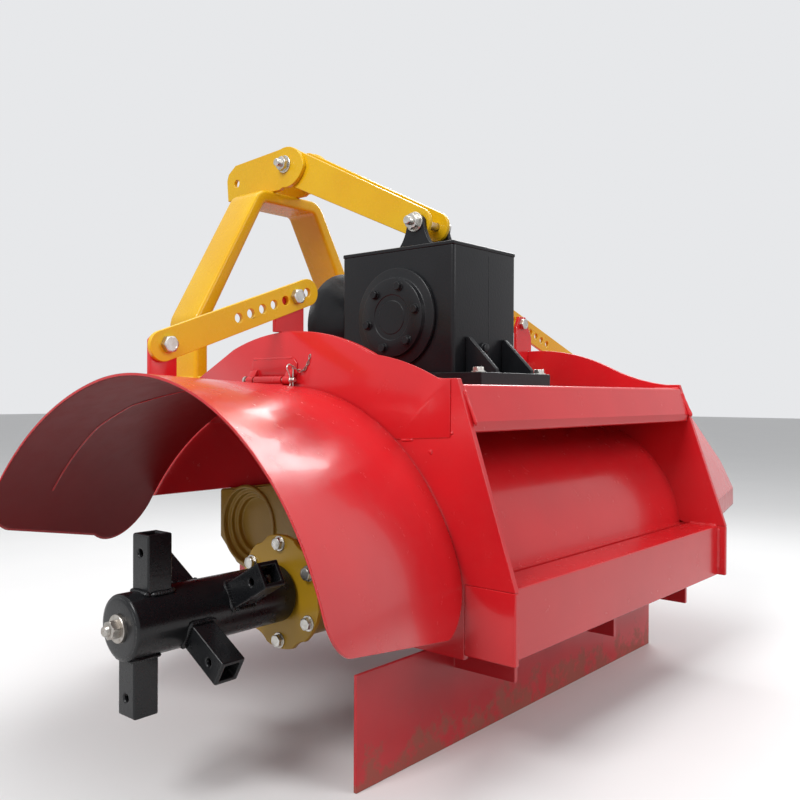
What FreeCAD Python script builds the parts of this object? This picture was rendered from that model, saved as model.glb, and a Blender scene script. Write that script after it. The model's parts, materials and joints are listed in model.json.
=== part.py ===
import FreeCAD, Part
import math
import os
import Sketcher

# Tractor-mounted vine burying machine: a powered rotor loosens soil under a hood between two side
# plates and carries it to an impeller at the left end, which throws it out under a half-round fender.
# Frame: +X points back, away from the tractor, +Y to the machine's right as seen from the tractor
# seat's rear window, +Z up. The origin is on the ground under the middle of the bounding box.

SIZES = {
    # overall and layout
    "total_length": 1475.0,
    "total_width": 2122.0,
    "ground_to_deck": 797.0,
    "impeller_reach": 592.0,        # left side plate's outer face to the tip of the impeller's end bolt
    "cover_reach": 380.0,           # right side plate's outer face to the right cover's outer edge
    "hitch_offset": 479.5,          # left side plate's outer face to the hitch, mast and gearbox centre
    "fender_overhang": 43.8,        # the fender's rim reaches this far behind the side plates
    # side plates
    "plate_wall": 14.0,
    "corner_back_height": 389.0,    # where the slanting rear edge meets the lower beam
    "top_setback": 143.0,           # how far the slanting rear edge leans forward at the top
    "top_corner_rise": 12.0,
    "plate_bottom": 235.0,
    "plate_nose_height": 690.0,
    "plate_step_lead": 162.0,       # rotor axis to the upright edge where the low part ends
    "plate_step_rise": 212.0,       # rotor axis to the raised front part's lower edge
    "hump_rise": 130.0,
    "hump_radius": 637.0,
    "hump_foot_radius": 580.0,
    # rotor
    "rotor_setback": 482.0,         # rear end to the rotor axis
    "rotor_height": 351.0,
    "shaft_radius": 30.0,
    "running_gap": 0.05,
    "tube_radius": 45.0,
    "blade_reach": 215.0,
    "blade_wall": 8.0,
    "blade_width": 60.0,
    "flange_radius": 90.0,
    "flange_wall": 10.0,
    "impeller_tube_radius": 61.0,
    "socket_side": 52.0,
    "socket_wall": 9.0,
    "socket_reach": 165.0,
    "socket_lead": 521.0,           # left side plate's outer face to the outermost socket
    "socket_pitch": 98.0,
    "bearing_gap": 5.0,
    # hood and rear beams
    "hood_radius": 345.0,
    "sheet_wall": 5.0,
    "beam_wall": 6.0,
    "lower_beam_length": 93.0,
    "lower_beam_height": 145.0,
    "beam_inset": 22.0,
    "upper_beam_height": 100.0,
    "upper_beam_depth": 90.0,
    # fender
    "fender_reach": 552.0,
    "fender_gap": 6.0,
    "fender_wall": 5.0,
    "fender_radius": 532.0,
    "fender_front_radius": 834.0,
    "fender_turn": 103.0,           # degrees up from the back where the flatter front begins
    "fender_front_angle": 155.0,
    "fender_shear": 172.0,          # the inner section stands this far in front of the rim's
    "fender_corner": 130.0,
    "hinge_radius": 6.0,
    "knuckle_radius": 10.0,
    # front beam and hitch
    "front_beam_length": 155.0,
    "front_beam_height": 120.0,
    "front_beam_rise": 25.0,
    "front_beam_setback": 85.0,
    "mast_length": 135.0,
    "mast_shift": 14.0,             # the mast's middle is this far to the right of the gearbox's
    "mast_face": 48.0,
    "mast_height": 630.0,
    "mast_foot_half": 376.0,
    "mast_top_half": 140.0,
    "mast_bend_rise": 175.0,
    "ear_wall": 14.0,
    "ear_spread": 120.0,
    "ear_height": 130.0,
    "bar_wall": 12.0,
    "bar_front_width": 112.0,
    "bar_back_width": 84.0,
    "link_bolt_radius": 12.0,
    "pin_spread": 825.0,
    "pin_radius": 14.0,
    "pin_length": 62.0,
    "pin_shoulder": 19.0,
    "bracket_wall": 16.0,
    "bracket_pin_tail": 12.0,
    "top_hole_radius": 12.7,
    # gearbox
    "gearbox_length": 396.0,
    "gearbox_width": 289.0,
    "gearbox_left": 132.5,          # hitch centre to the gearbox's left face
    "gearbox_height": 330.0,
    "gearbox_setback": 414.0,
    "foot_height": 35.0,
    "foot_width": 329.0,
    "lid_wall": 11.0,
    "input_height": 178.0,
    "input_radius": 17.4,
    "guard_radius": 167.0,
    "guard_length": 110.0,
    "guard_neck": 78.0,
    # right cover
    "cover_radius": 488.0,
    "cover_lead": 19.0,             # rotor axis forward to the centre of the inner edge's section
    "cover_shear": 88.0,           # the outer edge's section stands this far in front of the inner one's
    # stays
    "stay_lead": 212.0,             # rotor axis to the face where the stays and their lugs meet
    "stay_width": 68.0,
    "stay_wall": 12.0,
    "stay_hole_radius": 11.0,
    "stay_pitch": 38.7,
    "stay_inset": 52.0,             # side plate's outer face inward to the high bolt
    "stay_outset": 322.0,           # side plate's outer face outward to the low bolt
    "stay_high_rise": 222.0,        # deck to the high bolts
    "stay_low_rise_left": 70.0,     # fender's crown at its outer rim to the left low bolt
    "stay_low_rise_right": 100.0,   # deck to the right low bolt
    "stay_nose": 12.0,              # the bar runs on this far beyond its low bolt
    "stay_tail": 42.0,              # and this far beyond its high bolt
    # tail board and stands
    "board_setback": 233.0,
    "board_wall": 8.0,
    "board_reach": 201.0,
    "stand_side": 50.0,
    "stand_gap": 1.5,
    "stand_sleeve_wall": 5.0,
}

doc = FreeCAD.newDocument("vine_burying_machine")
sheet = doc.addObject("Spreadsheet::Sheet", "Sizes")
for row, (alias, number) in enumerate(SIZES.items(), start=1):
    sheet.set("A%d" % row, alias)
    sheet.set("B%d" % row, repr(number))
    sheet.setAlias("B%d" % row, alias)
doc.recompute()


class Size:
    """A length or an angle: its number now, and the formula on the sheet that gives it."""

    def __init__(self, formula, number):
        self.formula = formula
        self.number = number

    def _join(self, sign, other, number):
        return Size("(%s %s %s)" % (self.formula, sign, other.formula), number)

    def __add__(self, other):
        other = as_size(other)
        return self._join("+", other, self.number + other.number)

    def __sub__(self, other):
        other = as_size(other)
        return self._join("-", other, self.number - other.number)

    def __mul__(self, other):
        other = as_size(other)
        return self._join("*", other, self.number * other.number)

    def __truediv__(self, other):
        other = as_size(other)
        return self._join("/", other, self.number / other.number)

    def __neg__(self):
        return Size("(-%s)" % self.formula, -self.number)


def as_size(value):
    if isinstance(value, Size):
        return value
    return Size(repr(float(value)) if value >= 0 else "(%r)" % float(value), float(value))


def named(alias):
    return Size("Sizes.%s" % alias, SIZES[alias])


def hypot(a, b):
    return Size("sqrt(%s ^ 2 + %s ^ 2)" % (a.formula, b.formula), math.hypot(a.number, b.number))


def root(value):
    return Size("sqrt(%s)" % value.formula, math.sqrt(value.number))


def atan2(rise, run):
    angle = math.degrees(math.atan2(rise.number, run.number))
    return Size("atan2(%s; %s)" % (rise.formula, run.formula), angle)


def cosine(angle):
    angle = as_size(angle)
    return Size("cos(%s)" % angle.formula, math.cos(math.radians(angle.number)))


def sine(angle):
    angle = as_size(angle)
    return Size("sin(%s)" % angle.formula, math.sin(math.radians(angle.number)))


def bind(item, path, size):
    size = as_size(size)
    item.setExpression(path, size.formula)


def place(item, x=0, y=0, z=0):
    for path, size in (("x", x), ("y", y), ("z", z)):
        bind(item, "Placement.Base.%s" % path, size)
    return item


# ---- building blocks -------------------------------------------------------------------------

def box(label, corner, spans):
    """A block from its lowest corner and its three spans."""
    item = doc.addObject("Part::Box", label)
    for path, span in zip(("Length", "Width", "Height"), spans):
        bind(item, path, span)
    return place(item, *corner)


TURNS = {
    "x": FreeCAD.Rotation(FreeCAD.Vector(0, 1, 0), 90),
    "y": FreeCAD.Rotation(FreeCAD.Vector(1, 0, 0), -90),
    "z": FreeCAD.Rotation(),
}


def rod(label, axis, start, radius, length):
    """A round bar that runs from its start along +X, +Y or +Z."""
    item = doc.addObject("Part::Cylinder", label)
    bind(item, "Radius", radius)
    bind(item, "Height", length)
    item.Placement = FreeCAD.Placement(FreeCAD.Vector(), TURNS[axis])
    return place(item, *start)


def cone(label, axis, start, radius_1, radius_2, length):
    item = doc.addObject("Part::Cone", label)
    bind(item, "Radius1", radius_1)
    bind(item, "Radius2", radius_2)
    bind(item, "Height", length)
    item.Placement = FreeCAD.Placement(FreeCAD.Vector(), TURNS[axis])
    return place(item, *start)


def joined(label, items):
    item = doc.addObject("Part::MultiFuse", label)
    item.Shapes = items
    item.Refine = True
    return item


def cut(label, base, tools):
    item = doc.addObject("Part::Cut", label)
    item.Base = base
    item.Tool = tools[0] if len(tools) == 1 else joined(label + "_cutters", tools)
    item.Refine = True
    return item


PLANES = {"xy": "XY_Plane", "xz": "XZ_Plane", "yz": "YZ_Plane"}


def profile(body, plane, offset, outline, holes=()):
    """A closed sketch on one of the body's own planes, moved along its normal by the offset.

    The outline is a list of corners (across, up, radius): a radius bends the side that leaves that
    corner, bulging to the left of its direction where it is positive and to the right where it is
    negative. Holes are (across, up, radius)."""
    sketch = body.newObject("Sketcher::SketchObject", body.Name + "_profile")
    for origin_plane in body.Origin.OriginFeatures:
        if origin_plane.Role == PLANES[plane]:
            sketch.AttachmentSupport = [(origin_plane, "")]
    sketch.MapMode = "FlatFace"
    bind(sketch, ".AttachmentOffset.Base.z", offset)
    corners = [(as_size(c[0]), as_size(c[1]), c[2] if len(c) > 2 else None) for c in outline]
    points = [FreeCAD.Vector(c[0].number, c[1].number, 0) for c in corners]
    sides = []
    for i, corner in enumerate(corners):
        start, end = points[i], points[(i + 1) % len(points)]
        if corner[2] is None:
            sides.append((sketch.addGeometry(Part.LineSegment(start, end), False), 1, 2, None))
            continue
        bend = as_size(corner[2])
        radius = abs(bend.number)
        half = (end - start).Length / 2
        along = (end - start).normalize()
        left = FreeCAD.Vector(-along.y, along.x, 0)
        left_bulge = bend.number > 0
        side = 1 if left_bulge else -1
        depth = math.sqrt(radius ** 2 - half ** 2)
        middle = (start + end) * 0.5 + left * (side * (radius - depth))
        head, tail = (2, 1) if left_bulge else (1, 2)
        arc = Part.Arc(end, middle, start) if left_bulge else Part.Arc(start, middle, end)
        geometry = sketch.addGeometry(arc, False)
        sides.append((geometry, head, tail, bend if left_bulge else -bend))
    for i, (geometry, head, tail, bend) in enumerate(sides):
        following = sides[(i + 1) % len(sides)]
        sketch.addConstraint(Sketcher.Constraint("Coincident", geometry, tail, following[0], following[1]))
        pin_point(sketch, geometry, head, corners[i][0], corners[i][1])
        if bend is not None:
            limit(sketch, Sketcher.Constraint("Radius", geometry, bend.number), bend)
    for across, up, radius in holes:
        add_circle(sketch, as_size(across), as_size(up), as_size(radius))
    return sketch


def limit(sketch, constraint, size):
    index = sketch.addConstraint(constraint)
    bind(sketch, "Constraints[%d]" % index, size)


def pin_point(sketch, geometry, position, across, up):
    limit(sketch, Sketcher.Constraint("DistanceX", -1, 1, geometry, position, across.number), across)
    limit(sketch, Sketcher.Constraint("DistanceY", -1, 1, geometry, position, up.number), up)


def add_circle(sketch, across, up, radius):
    centre = FreeCAD.Vector(across.number, up.number, 0)
    circle = Part.Circle(centre, FreeCAD.Vector(0, 0, 1), radius.number)
    geometry = sketch.addGeometry(circle, False)
    pin_point(sketch, geometry, 3, across, up)
    limit(sketch, Sketcher.Constraint("Radius", geometry, radius.number), radius)


def plate(label, plane, start, wall, outline, holes=()):
    """A flat plate cut to an outline, its faces at start and start + wall along +X, +Y or +Z."""
    body = doc.addObject("PartDesign::Body", label)
    start, wall = as_size(start), as_size(wall)
    offset = -start if plane == "xz" else start
    sketch = profile(body, plane, offset, outline, holes)
    pad = body.newObject("PartDesign::Pad", label + "_pad")
    pad.Profile = sketch
    pad.Reversed = plane == "xz"
    bind(pad, "Length", wall)
    sketch.Visibility = False
    return body


exports = []


def export(item):
    exports.append(item)
    return item


# ---- shared places ---------------------------------------------------------------------------

front_x = -(named("total_length") / 2)
fender_back_x = named("total_length") / 2
back_x = fender_back_x - named("fender_overhang")
left_y = -(named("total_width") / 2)
plate_left_y = left_y + named("impeller_reach")
plate_right_y = named("total_width") / 2 - named("cover_reach")
inner_left_y = plate_left_y + named("plate_wall")
inner_right_y = plate_right_y - named("plate_wall")
inner_width = inner_right_y - inner_left_y
hitch_y = plate_left_y + named("hitch_offset")
deck_z = named("ground_to_deck")
rotor_x = back_x - named("rotor_setback")
rotor_z = named("rotor_height")
corner_z = named("corner_back_height")
top_back_x = back_x - named("top_setback")
top_back_z = deck_z + named("top_corner_rise")
beam_front_x = top_back_x + 20
front_beam_x = front_x + named("front_beam_setback")
front_beam_back_x = front_beam_x + named("front_beam_length")
front_beam_top = deck_z + named("front_beam_rise")
plate_step_x = rotor_x - named("plate_step_lead")
plate_step_z = rotor_z + named("plate_step_rise")
plate_nose_x = front_beam_x + 107
plate_nose_z = plate_step_z - 83


def shaft_hole(extra):
    return (rotor_x, rotor_z, named("shaft_radius") + extra)


# ---- side plates -----------------------------------------------------------------------------

def side_plate_outline():
    """From the rear corner under the rotor, up and along the raised front edge, over the hump."""
    hump_x = rotor_x - 198
    box_x = top_back_x + 20
    return [
        (back_x, corner_z),
        (box_x, corner_z),
        (box_x, named("plate_bottom")),
        (plate_step_x, named("plate_bottom")),
        (plate_step_x, plate_step_z),
        (plate_nose_x, plate_nose_z),
        (front_beam_x - 5, named("plate_nose_height")),
        (front_beam_x - 5, front_beam_top),
        (front_beam_back_x + 8, front_beam_top),
        (front_beam_back_x + 33, deck_z),
        (hump_x - 375, deck_z),
        (hump_x - 185, deck_z + named("hump_rise") - 37, named("hump_radius")),
        (hump_x + 300, deck_z + named("hump_rise") - 59, -named("hump_foot_radius")),
        (hump_x + 495, top_back_z),
        (top_back_x, top_back_z),
    ]


def side_plates():
    for side, start in (("left", plate_left_y), ("right", inner_right_y)):
        export(plate("side_plate_" + side, "xz", start, named("plate_wall"),
                     side_plate_outline(), [shaft_hole(8)]))


side_plates()


# ---- deck, beams and hood --------------------------------------------------------------------

def deck():
    wall = named("sheet_wall") + 3
    export(box("deck_plate", (front_beam_back_x, inner_left_y, deck_z - wall),
               (top_back_x - named("upper_beam_depth") - front_beam_back_x, inner_width, wall)))


def front_beam():
    wall = named("beam_wall")
    low = front_beam_top - named("front_beam_height")
    outer = box("front_beam_outer", (front_beam_x, inner_left_y, low),
                (named("front_beam_length"), inner_width, named("front_beam_height")))
    inner = box("front_beam_hollow", (front_beam_x + wall, inner_left_y - 1, low + wall),
                (named("front_beam_length") - wall * 2, inner_width + 2,
                 named("front_beam_height") - wall * 2))
    export(cut("front_beam", outer, [inner]))


def upper_beam():
    """A folded channel whose rear face leans with the side plates' rear edge."""
    wall = named("beam_wall")
    lean = named("top_setback") / (top_back_z - corner_z)
    low = deck_z - named("upper_beam_height")
    face_top_x = top_back_x + lean * (top_back_z - deck_z)
    face_low_x = top_back_x + lean * (top_back_z - low)
    lip_z = low + 23
    lip_x = top_back_x + lean * (top_back_z - lip_z)
    front = top_back_x - named("upper_beam_depth")
    export(plate("rear_upper_beam", "xz", inner_left_y, inner_width, [
        (front, deck_z),
        (front, deck_z - wall),
        (face_top_x - wall, deck_z - wall),
        (lip_x - wall, lip_z),
        (face_low_x - 12 - wall, low + wall),
        (front + 40, low + wall),
        (front + 40, low),
        (face_low_x - 12, low),
        (lip_x, lip_z),
        (face_top_x, deck_z),
    ]))


def lower_beam():
    wall = named("beam_wall")
    low = corner_z - named("lower_beam_height")
    start_x = back_x - named("beam_inset") - named("lower_beam_length")
    outer = box("rear_lower_beam_outer", (start_x, inner_left_y, low),
                (named("lower_beam_length"), inner_width, named("lower_beam_height")))
    inner = box("rear_lower_beam_hollow", (start_x + wall, inner_left_y - 1, low + wall),
                (named("lower_beam_length") - wall * 2, inner_width + 2,
                 named("lower_beam_height") - wall * 2))
    ends = [box("rear_lower_beam_end_" + side, (beam_front_x, start, low),
                (back_x - beam_front_x, named("plate_wall"), named("lower_beam_height")))
            for side, start in (("left", plate_left_y), ("right", inner_right_y))]
    export(joined("rear_lower_beam", [cut("rear_lower_beam_web", outer, [inner])] + ends))


def rotor_hood():
    """A half-round sheet round the rotor, with a lip at its back that meets the lower beam."""
    outer = rod("hood_outer", "y", (rotor_x, inner_left_y, rotor_z), named("hood_radius"), inner_width)
    inner = rod("hood_inner", "y", (rotor_x, inner_left_y - 1, rotor_z),
                named("hood_radius") - named("sheet_wall"), inner_width + 2)
    low = box("hood_below", (rotor_x - 400, inner_left_y - 1, rotor_z - 400),
              (as_size(800), inner_width + 2, corner_z - rotor_z + 400))
    lip_wall = named("sheet_wall")
    lip_rise = corner_z - rotor_z
    lip_x = rotor_x + root(named("hood_radius") * named("hood_radius") - lip_rise * lip_rise)
    lip_end = back_x - named("beam_inset") - named("lower_beam_length")
    lip = box("hood_lip", (lip_x - lip_wall, inner_left_y, corner_z - lip_wall),
              (lip_end - lip_x + lip_wall, inner_width, lip_wall))
    export(joined("rotor_hood", [cut("hood_round", outer, [inner, low]), lip]))


deck()
front_beam()
upper_beam()
lower_beam()
rotor_hood()


# ---- mast, link bars and hitch ---------------------------------------------------------------

mast_x = front_beam_x + 20
mast_y = hitch_y + named("mast_shift")
mast_top_z = deck_z + named("mast_height")
ear_front_y = hitch_y - named("ear_spread") / 2


def mast():
    """A bent frame of deep rectangular section: two feet, two leaning legs and a flat top."""
    foot = named("mast_foot_half")
    top = named("mast_top_half")
    face = named("mast_face")
    bend_z = front_beam_top + named("mast_bend_rise")
    export(plate("mast", "yz", mast_x, named("mast_length"), [
        (mast_y - foot, front_beam_top),
        (mast_y - foot, bend_z),
        (mast_y - top, mast_top_z - 22),
        (mast_y - top + 25, mast_top_z),
        (mast_y + top - 25, mast_top_z),
        (mast_y + top, mast_top_z - 22),
        (mast_y + foot, bend_z),
        (mast_y + foot, front_beam_top),
        (mast_y + foot - face, front_beam_top),
        (mast_y + foot - face, bend_z - 10),
        (mast_y + top - 22, mast_top_z - 59),
        (mast_y + top - 45, mast_top_z - 40),
        (mast_y - top + 45, mast_top_z - 40),
        (mast_y - top + 22, mast_top_z - 59),
        (mast_y - foot + face, bend_z - 10),
        (mast_y - foot + face, front_beam_top),
    ]))


link_front_x = front_x + 291
link_front_z = mast_top_z + 78
top_hole_x = front_x + 52
top_hole_z = mast_top_z + 54
gearbox_x = back_x - named("gearbox_setback") - named("gearbox_length")
gearbox_y = hitch_y - named("gearbox_left")
gearbox_z = deck_z + named("foot_height")
gearbox_top = gearbox_z + named("gearbox_height")
lid_top = gearbox_top + named("lid_wall")
link_back_x = gearbox_x + 207
link_back_z = lid_top + 80


def mast_ears():
    """Two plates on the mast's top: the top link's hole in front, the link bars' bolt behind."""
    base = mast_top_z
    for side, start in (("left", ear_front_y),
                        ("right", hitch_y + named("ear_spread") / 2 - named("ear_wall"))):
        export(plate("mast_ear_" + side, "xz", start, named("ear_wall"), [
            (front_x + 6, base),
            (link_front_x - 24, base),
            (link_front_x - 12, base + 6, -85),
            (link_front_x + 85, base + 62, -85),
            (link_front_x - 22, base + named("ear_height")),
            (front_x + 44, base + 116),
            (front_x + 8, base + 92),
            (front_x, base + 70),
        ], [(top_hole_x, top_hole_z, named("top_hole_radius")),
            (link_front_x, link_front_z, named("link_bolt_radius"))]))


def link_bars():
    """Two flat bars that brace the mast's top against the gearbox lid."""
    run = link_back_x - link_front_x
    drop = link_front_z - link_back_z
    length = hypot(run, drop)
    tilt = atan2(drop, run)
    front_half = named("bar_front_width") / 2
    back_half = named("bar_back_width") / 2
    wall = named("bar_wall")
    inner = named("ear_spread") / 2 - named("ear_wall")
    for side, start in (("left", hitch_y - inner), ("right", hitch_y + inner - wall)):
        name = "link_bar_" + side
        web = plate(name + "_web", "xz", 0, wall, [
            (0, -front_half), (length, -back_half), (length, back_half), (0, front_half)])
        front_end = rod(name + "_front", "y", (0, 0, 0), front_half, wall)
        back_end = rod(name + "_back", "y", (length, 0, 0), back_half, wall)
        front_hole = rod(name + "_front_hole", "y", (0, -1, 0), named("link_bolt_radius"), wall + 2)
        back_hole = rod(name + "_back_hole", "y", (length, -1, 0), named("link_bolt_radius"), wall + 2)
        bar = cut(name, joined(name + "_solid", [web, front_end, back_end]), [front_hole, back_hole])
        bar.Placement = FreeCAD.Placement(FreeCAD.Vector(),
                                          FreeCAD.Rotation(FreeCAD.Vector(0, 1, 0), tilt.number))
        bind(bar, "Placement.Rotation.Angle", tilt)
        export(place(bar, link_front_x, start, link_front_z))


def link_bolts():
    for name, x, z in (("link_bolt_front", link_front_x, link_front_z),
                       ("link_bolt_back", link_back_x, link_back_z)):
        export(rod(name, "y", (x, ear_front_y - 18, z), named("link_bolt_radius") - 0.2,
                   named("ear_spread") + 36))


def lid_ears():
    """Two waisted lugs on the gearbox lid that hold the link bars' rear bolt."""
    inner = named("ear_spread") / 2 - named("ear_wall")
    ears = []
    for side, start in (("left", ear_front_y), ("right", hitch_y + inner)):
        ears.append(plate("lid_ear_" + side, "xz", start, named("ear_wall"), [
            (link_back_x - 75, lid_top, -110),
            (link_back_x - 30, link_back_z + 4),
            (link_back_x - 30, link_back_z + 5, 34),
            (link_back_x + 30, link_back_z + 5),
            (link_back_x + 30, link_back_z + 4, -110),
            (link_back_x + 75, lid_top),
        ], [(link_back_x, link_back_z, named("link_bolt_radius"))]))
    return ears


def hitch_lugs():
    """A bracket plate under each mast foot with the lower link's pin standing out of it sideways."""
    wall = named("bracket_wall")
    pin_x = front_beam_x - 47
    pin_z = front_beam_top - named("front_beam_height") / 2 - 25
    low = front_beam_top - named("front_beam_height")
    for side, sign in (("left", -1), ("right", 1)):
        shoulder = hitch_y + named("pin_spread") * (sign / 2)
        start = shoulder if side == "left" else shoulder - wall
        cheek = plate("hitch_cheek_" + side, "xz", start, wall, [
            (front_beam_x - 8, front_beam_top),
            (pin_x - 18, pin_z + 50),
            (pin_x - 38, pin_z + 20),
            (pin_x - 38, pin_z - 20),
            (pin_x - 18, pin_z - 38),
            (front_beam_x - 8, low),
        ], [(pin_x, pin_z, named("pin_shoulder"))])
        back = box("hitch_bracket_%s_back" % side, (front_beam_x - 8, start - 34, low),
                   (8, wall + 68, named("front_beam_height")))
        export(joined("hitch_bracket_" + side, [cheek, back]))
        root = named("pin_length") + wall + named("bracket_pin_tail")
        end = shoulder - named("pin_length") if side == "left" else shoulder
        inner = shoulder if side == "left" else shoulder - wall - named("bracket_pin_tail")
        tip = rod("hitch_pin_%s_tip" % side, "y", (pin_x, end, pin_z), named("pin_radius"),
                  named("pin_length"))
        collar = rod("hitch_pin_%s_collar" % side, "y", (pin_x, inner, pin_z), named("pin_shoulder"),
                     root - named("pin_length"))
        export(joined("hitch_pin_" + side, [tip, collar]))


mast()
mast_ears()
link_bars()
link_bolts()
hitch_lugs()


# ---- gearbox and input shaft -----------------------------------------------------------------

input_z = gearbox_z + named("input_height") - 35


def gearbox():
    length, width, height = named("gearbox_length"), named("gearbox_width"), named("gearbox_height")
    case = box("gearbox_block", (gearbox_x, gearbox_y, gearbox_z), (length, width, height))
    bore = rod("gearbox_bore", "x", (gearbox_x - 1, hitch_y, input_z),
               named("shaft_radius") + named("running_gap"), as_size(121))
    export(cut("gearbox_case", case, [bore]))
    lid = box("gearbox_lid_plate", (gearbox_x, gearbox_y, gearbox_top), (length, width, named("lid_wall")))
    export(joined("gearbox_lid", [lid] + lid_ears()))
    foot = [box("gearbox_foot_plate",
                (gearbox_x - 30, gearbox_y - 24, deck_z),
                (length + 135, named("foot_width"), named("foot_height")))]
    middle_y = gearbox_y + width / 2
    for side, centre in (("left", middle_y - 84), ("right", middle_y + 84)):
        foot.append(plate("gearbox_gusset_" + side, "xz", centre - 7, 14, [
            (gearbox_x + length, gearbox_z),
            (gearbox_x + length + 95, gearbox_z),
            (gearbox_x + length + 95, gearbox_z + 10),
            (gearbox_x + length + 10, gearbox_z + 95),
            (gearbox_x + length, gearbox_z + 95),
        ]))
    export(joined("gearbox_foot", foot))
    cover_x, cover_z = gearbox_x + 206, gearbox_z + 150
    ring = rod("gearbox_cover_ring", "y", (cover_x, gearbox_y - 12, cover_z), 135, 12)
    disc = rod("gearbox_cover_disc", "y", (cover_x, gearbox_y - 26, cover_z), 105, 14)
    export(joined("gearbox_side_cover", [ring, disc]))


def input_guard():
    """A flared guard round the input shaft, open at the front."""
    wall = 6
    start_x = gearbox_x - named("guard_length")
    outer = cone("guard_outer", "x", (start_x, hitch_y, input_z), named("guard_radius"),
                 named("guard_neck"), named("guard_length"))
    hollow = cone("guard_hollow", "x", (start_x - 1, hitch_y, input_z), named("guard_radius") - wall,
                  named("guard_neck") - wall, named("guard_length") + 2)
    export(cut("input_guard", outer, [hollow]))


def input_shaft():
    journal = rod("input_journal", "x", (gearbox_x, hitch_y, input_z), named("shaft_radius"), 118)
    spline = rod("input_spline", "x", (gearbox_x - 105, hitch_y, input_z), named("input_radius"), 106)
    export(joined("input_shaft", [journal, spline]))


gearbox()
input_guard()
input_shaft()


# ---- stays -----------------------------------------------------------------------------------

stay_x = rotor_x - named("stay_lead")
stay_high_z = deck_z + named("stay_high_rise")
SIDES = (("left", plate_left_y, -1), ("right", plate_right_y, 1))


fender_rim_z = rotor_z - 71
fender_crown_z = fender_rim_z + named("fender_radius")
STAY_BASE_Z = {"left": fender_crown_z, "right": deck_z}


def stay_low_z(side):
    return STAY_BASE_Z[side] + named("stay_low_rise_" + side)


def stay_bars():
    """Flat bars across the machine with a row of holes, bolted to a high and a low lug."""
    run = named("stay_inset") + named("stay_outset")
    wall = named("stay_wall")
    half = named("stay_width") / 2
    nose, tail = named("stay_nose"), named("stay_tail")
    for side, face_y, way in SIDES:
        name = "stay_bar_" + side
        drop = stay_high_z - stay_low_z(side)
        length = hypot(run, drop)
        tilt = atan2(drop, run)
        web_y = -(length + nose) if way < 0 else -tail
        solid = joined(name + "_solid", [
            box(name + "_web", (0, web_y, -half), (wall, length + tail + nose, named("stay_width"))),
            rod(name + "_high_end", "x", (0, tail * -way, 0), half, wall),
            rod(name + "_low_end", "x", (0, (length + nose) * way, 0), half, wall)])
        spots = [length] + [named("stay_pitch") * step for step in range(-1, 6)]
        holes = [rod("%s_hole_%d" % (name, index), "x", (-1, spot * way, 0),
                     named("stay_hole_radius"), wall + 2) for index, spot in enumerate(spots)]
        bar = cut(name, solid, holes)
        bar.Placement = FreeCAD.Placement(FreeCAD.Vector(),
                                          FreeCAD.Rotation(FreeCAD.Vector(-way, 0, 0), tilt.number))
        bind(bar, "Placement.Rotation.Angle", tilt)
        bar_x = stay_x if way < 0 else stay_x - wall
        export(place(bar, bar_x, face_y - named("stay_inset") * way, stay_high_z))


def lug_x(way):
    """The lugs stand on the other side of the shared face than the bars."""
    return stay_x - named("stay_wall") if way < 0 else stay_x


def high_lugs():
    """A lug welded inside each side plate, stepped over the top of its hump."""
    hump_top = deck_z + named("hump_rise") + 1
    for side, face_y, way in SIDES:
        inward = -way
        hole_y = face_y + named("stay_inset") * inward
        export(plate("stay_lug_" + side, "yz", lug_x(way), named("stay_wall"), [
            (face_y + named("plate_wall") * inward, hump_top - 40),
            (hole_y + 36 * inward, hump_top - 22),
            (hole_y + 36 * inward, stay_high_z - 12),
            (hole_y + 18 * inward, stay_high_z + 25),
            (hole_y - 20 * inward, stay_high_z + 25),
            (face_y - 7 * inward, stay_high_z - 45),
            (face_y - 7 * inward, hump_top),
            (face_y + named("plate_wall") * inward, hump_top),
        ], [(hole_y, stay_high_z, named("stay_hole_radius"))]))


def low_lug(side, way, face_y, foot_near_z, foot_far_z):
    """The lug that stands on a sheet outside the side plate; its foot is sunk a little into the sheet."""
    hole_y = face_y + named("stay_outset") * way
    top_z = stay_low_z(side)
    return plate("stay_low_lug_" + side, "yz", lug_x(way), named("stay_wall"), [
        (hole_y - 30 * way, foot_near_z),
        (hole_y - 30 * way, top_z + 10),
        (hole_y - 18 * way, top_z + 26),
        (hole_y + 24 * way, top_z + 24),
        (hole_y + 38 * way, top_z + 10),
        (hole_y + 38 * way, foot_far_z),
    ], [(hole_y, top_z, named("stay_hole_radius"))])


stay_bars()
high_lugs()


# ---- rotor and impeller ----------------------------------------------------------------------

flange_y = plate_left_y - 179
impeller_end_y = plate_left_y - 560


def tiller():
    """The tube between the side plates, its flanges and the bent blades bolted to them."""
    gap = named("bearing_gap")
    solid = rod("tiller_tube_solid", "y", (rotor_x, inner_left_y + gap, rotor_z),
                named("tube_radius"), inner_width - gap * 2)
    bore = rod("tiller_tube_bore", "y", (rotor_x, inner_left_y + gap - 1, rotor_z),
               named("shaft_radius"), inner_width - gap * 2 + 2)
    export(cut("tiller_tube", solid, [bore]))
    pitch = (inner_width - 160) / 5
    for station in range(6):
        y = inner_left_y + 80 + pitch * station - named("flange_wall") / 2
        flange = rod("tiller_flange_%d_disc" % station, "y", (rotor_x, y, rotor_z),
                     named("flange_radius"), named("flange_wall"))
        bore = rod("tiller_flange_%d_bore" % station, "y", (rotor_x, y - 1, rotor_z),
                   named("tube_radius"), named("flange_wall") + 2)
        blades = [cut("tiller_flange_%d" % station, flange, [bore])]
        for quarter in range(4):
            blades.append(blade("tiller_blade_%d_%d" % (station, quarter), y, quarter * 90 + station * 25))
        export(joined("tiller_set_%d" % station, blades))


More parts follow.
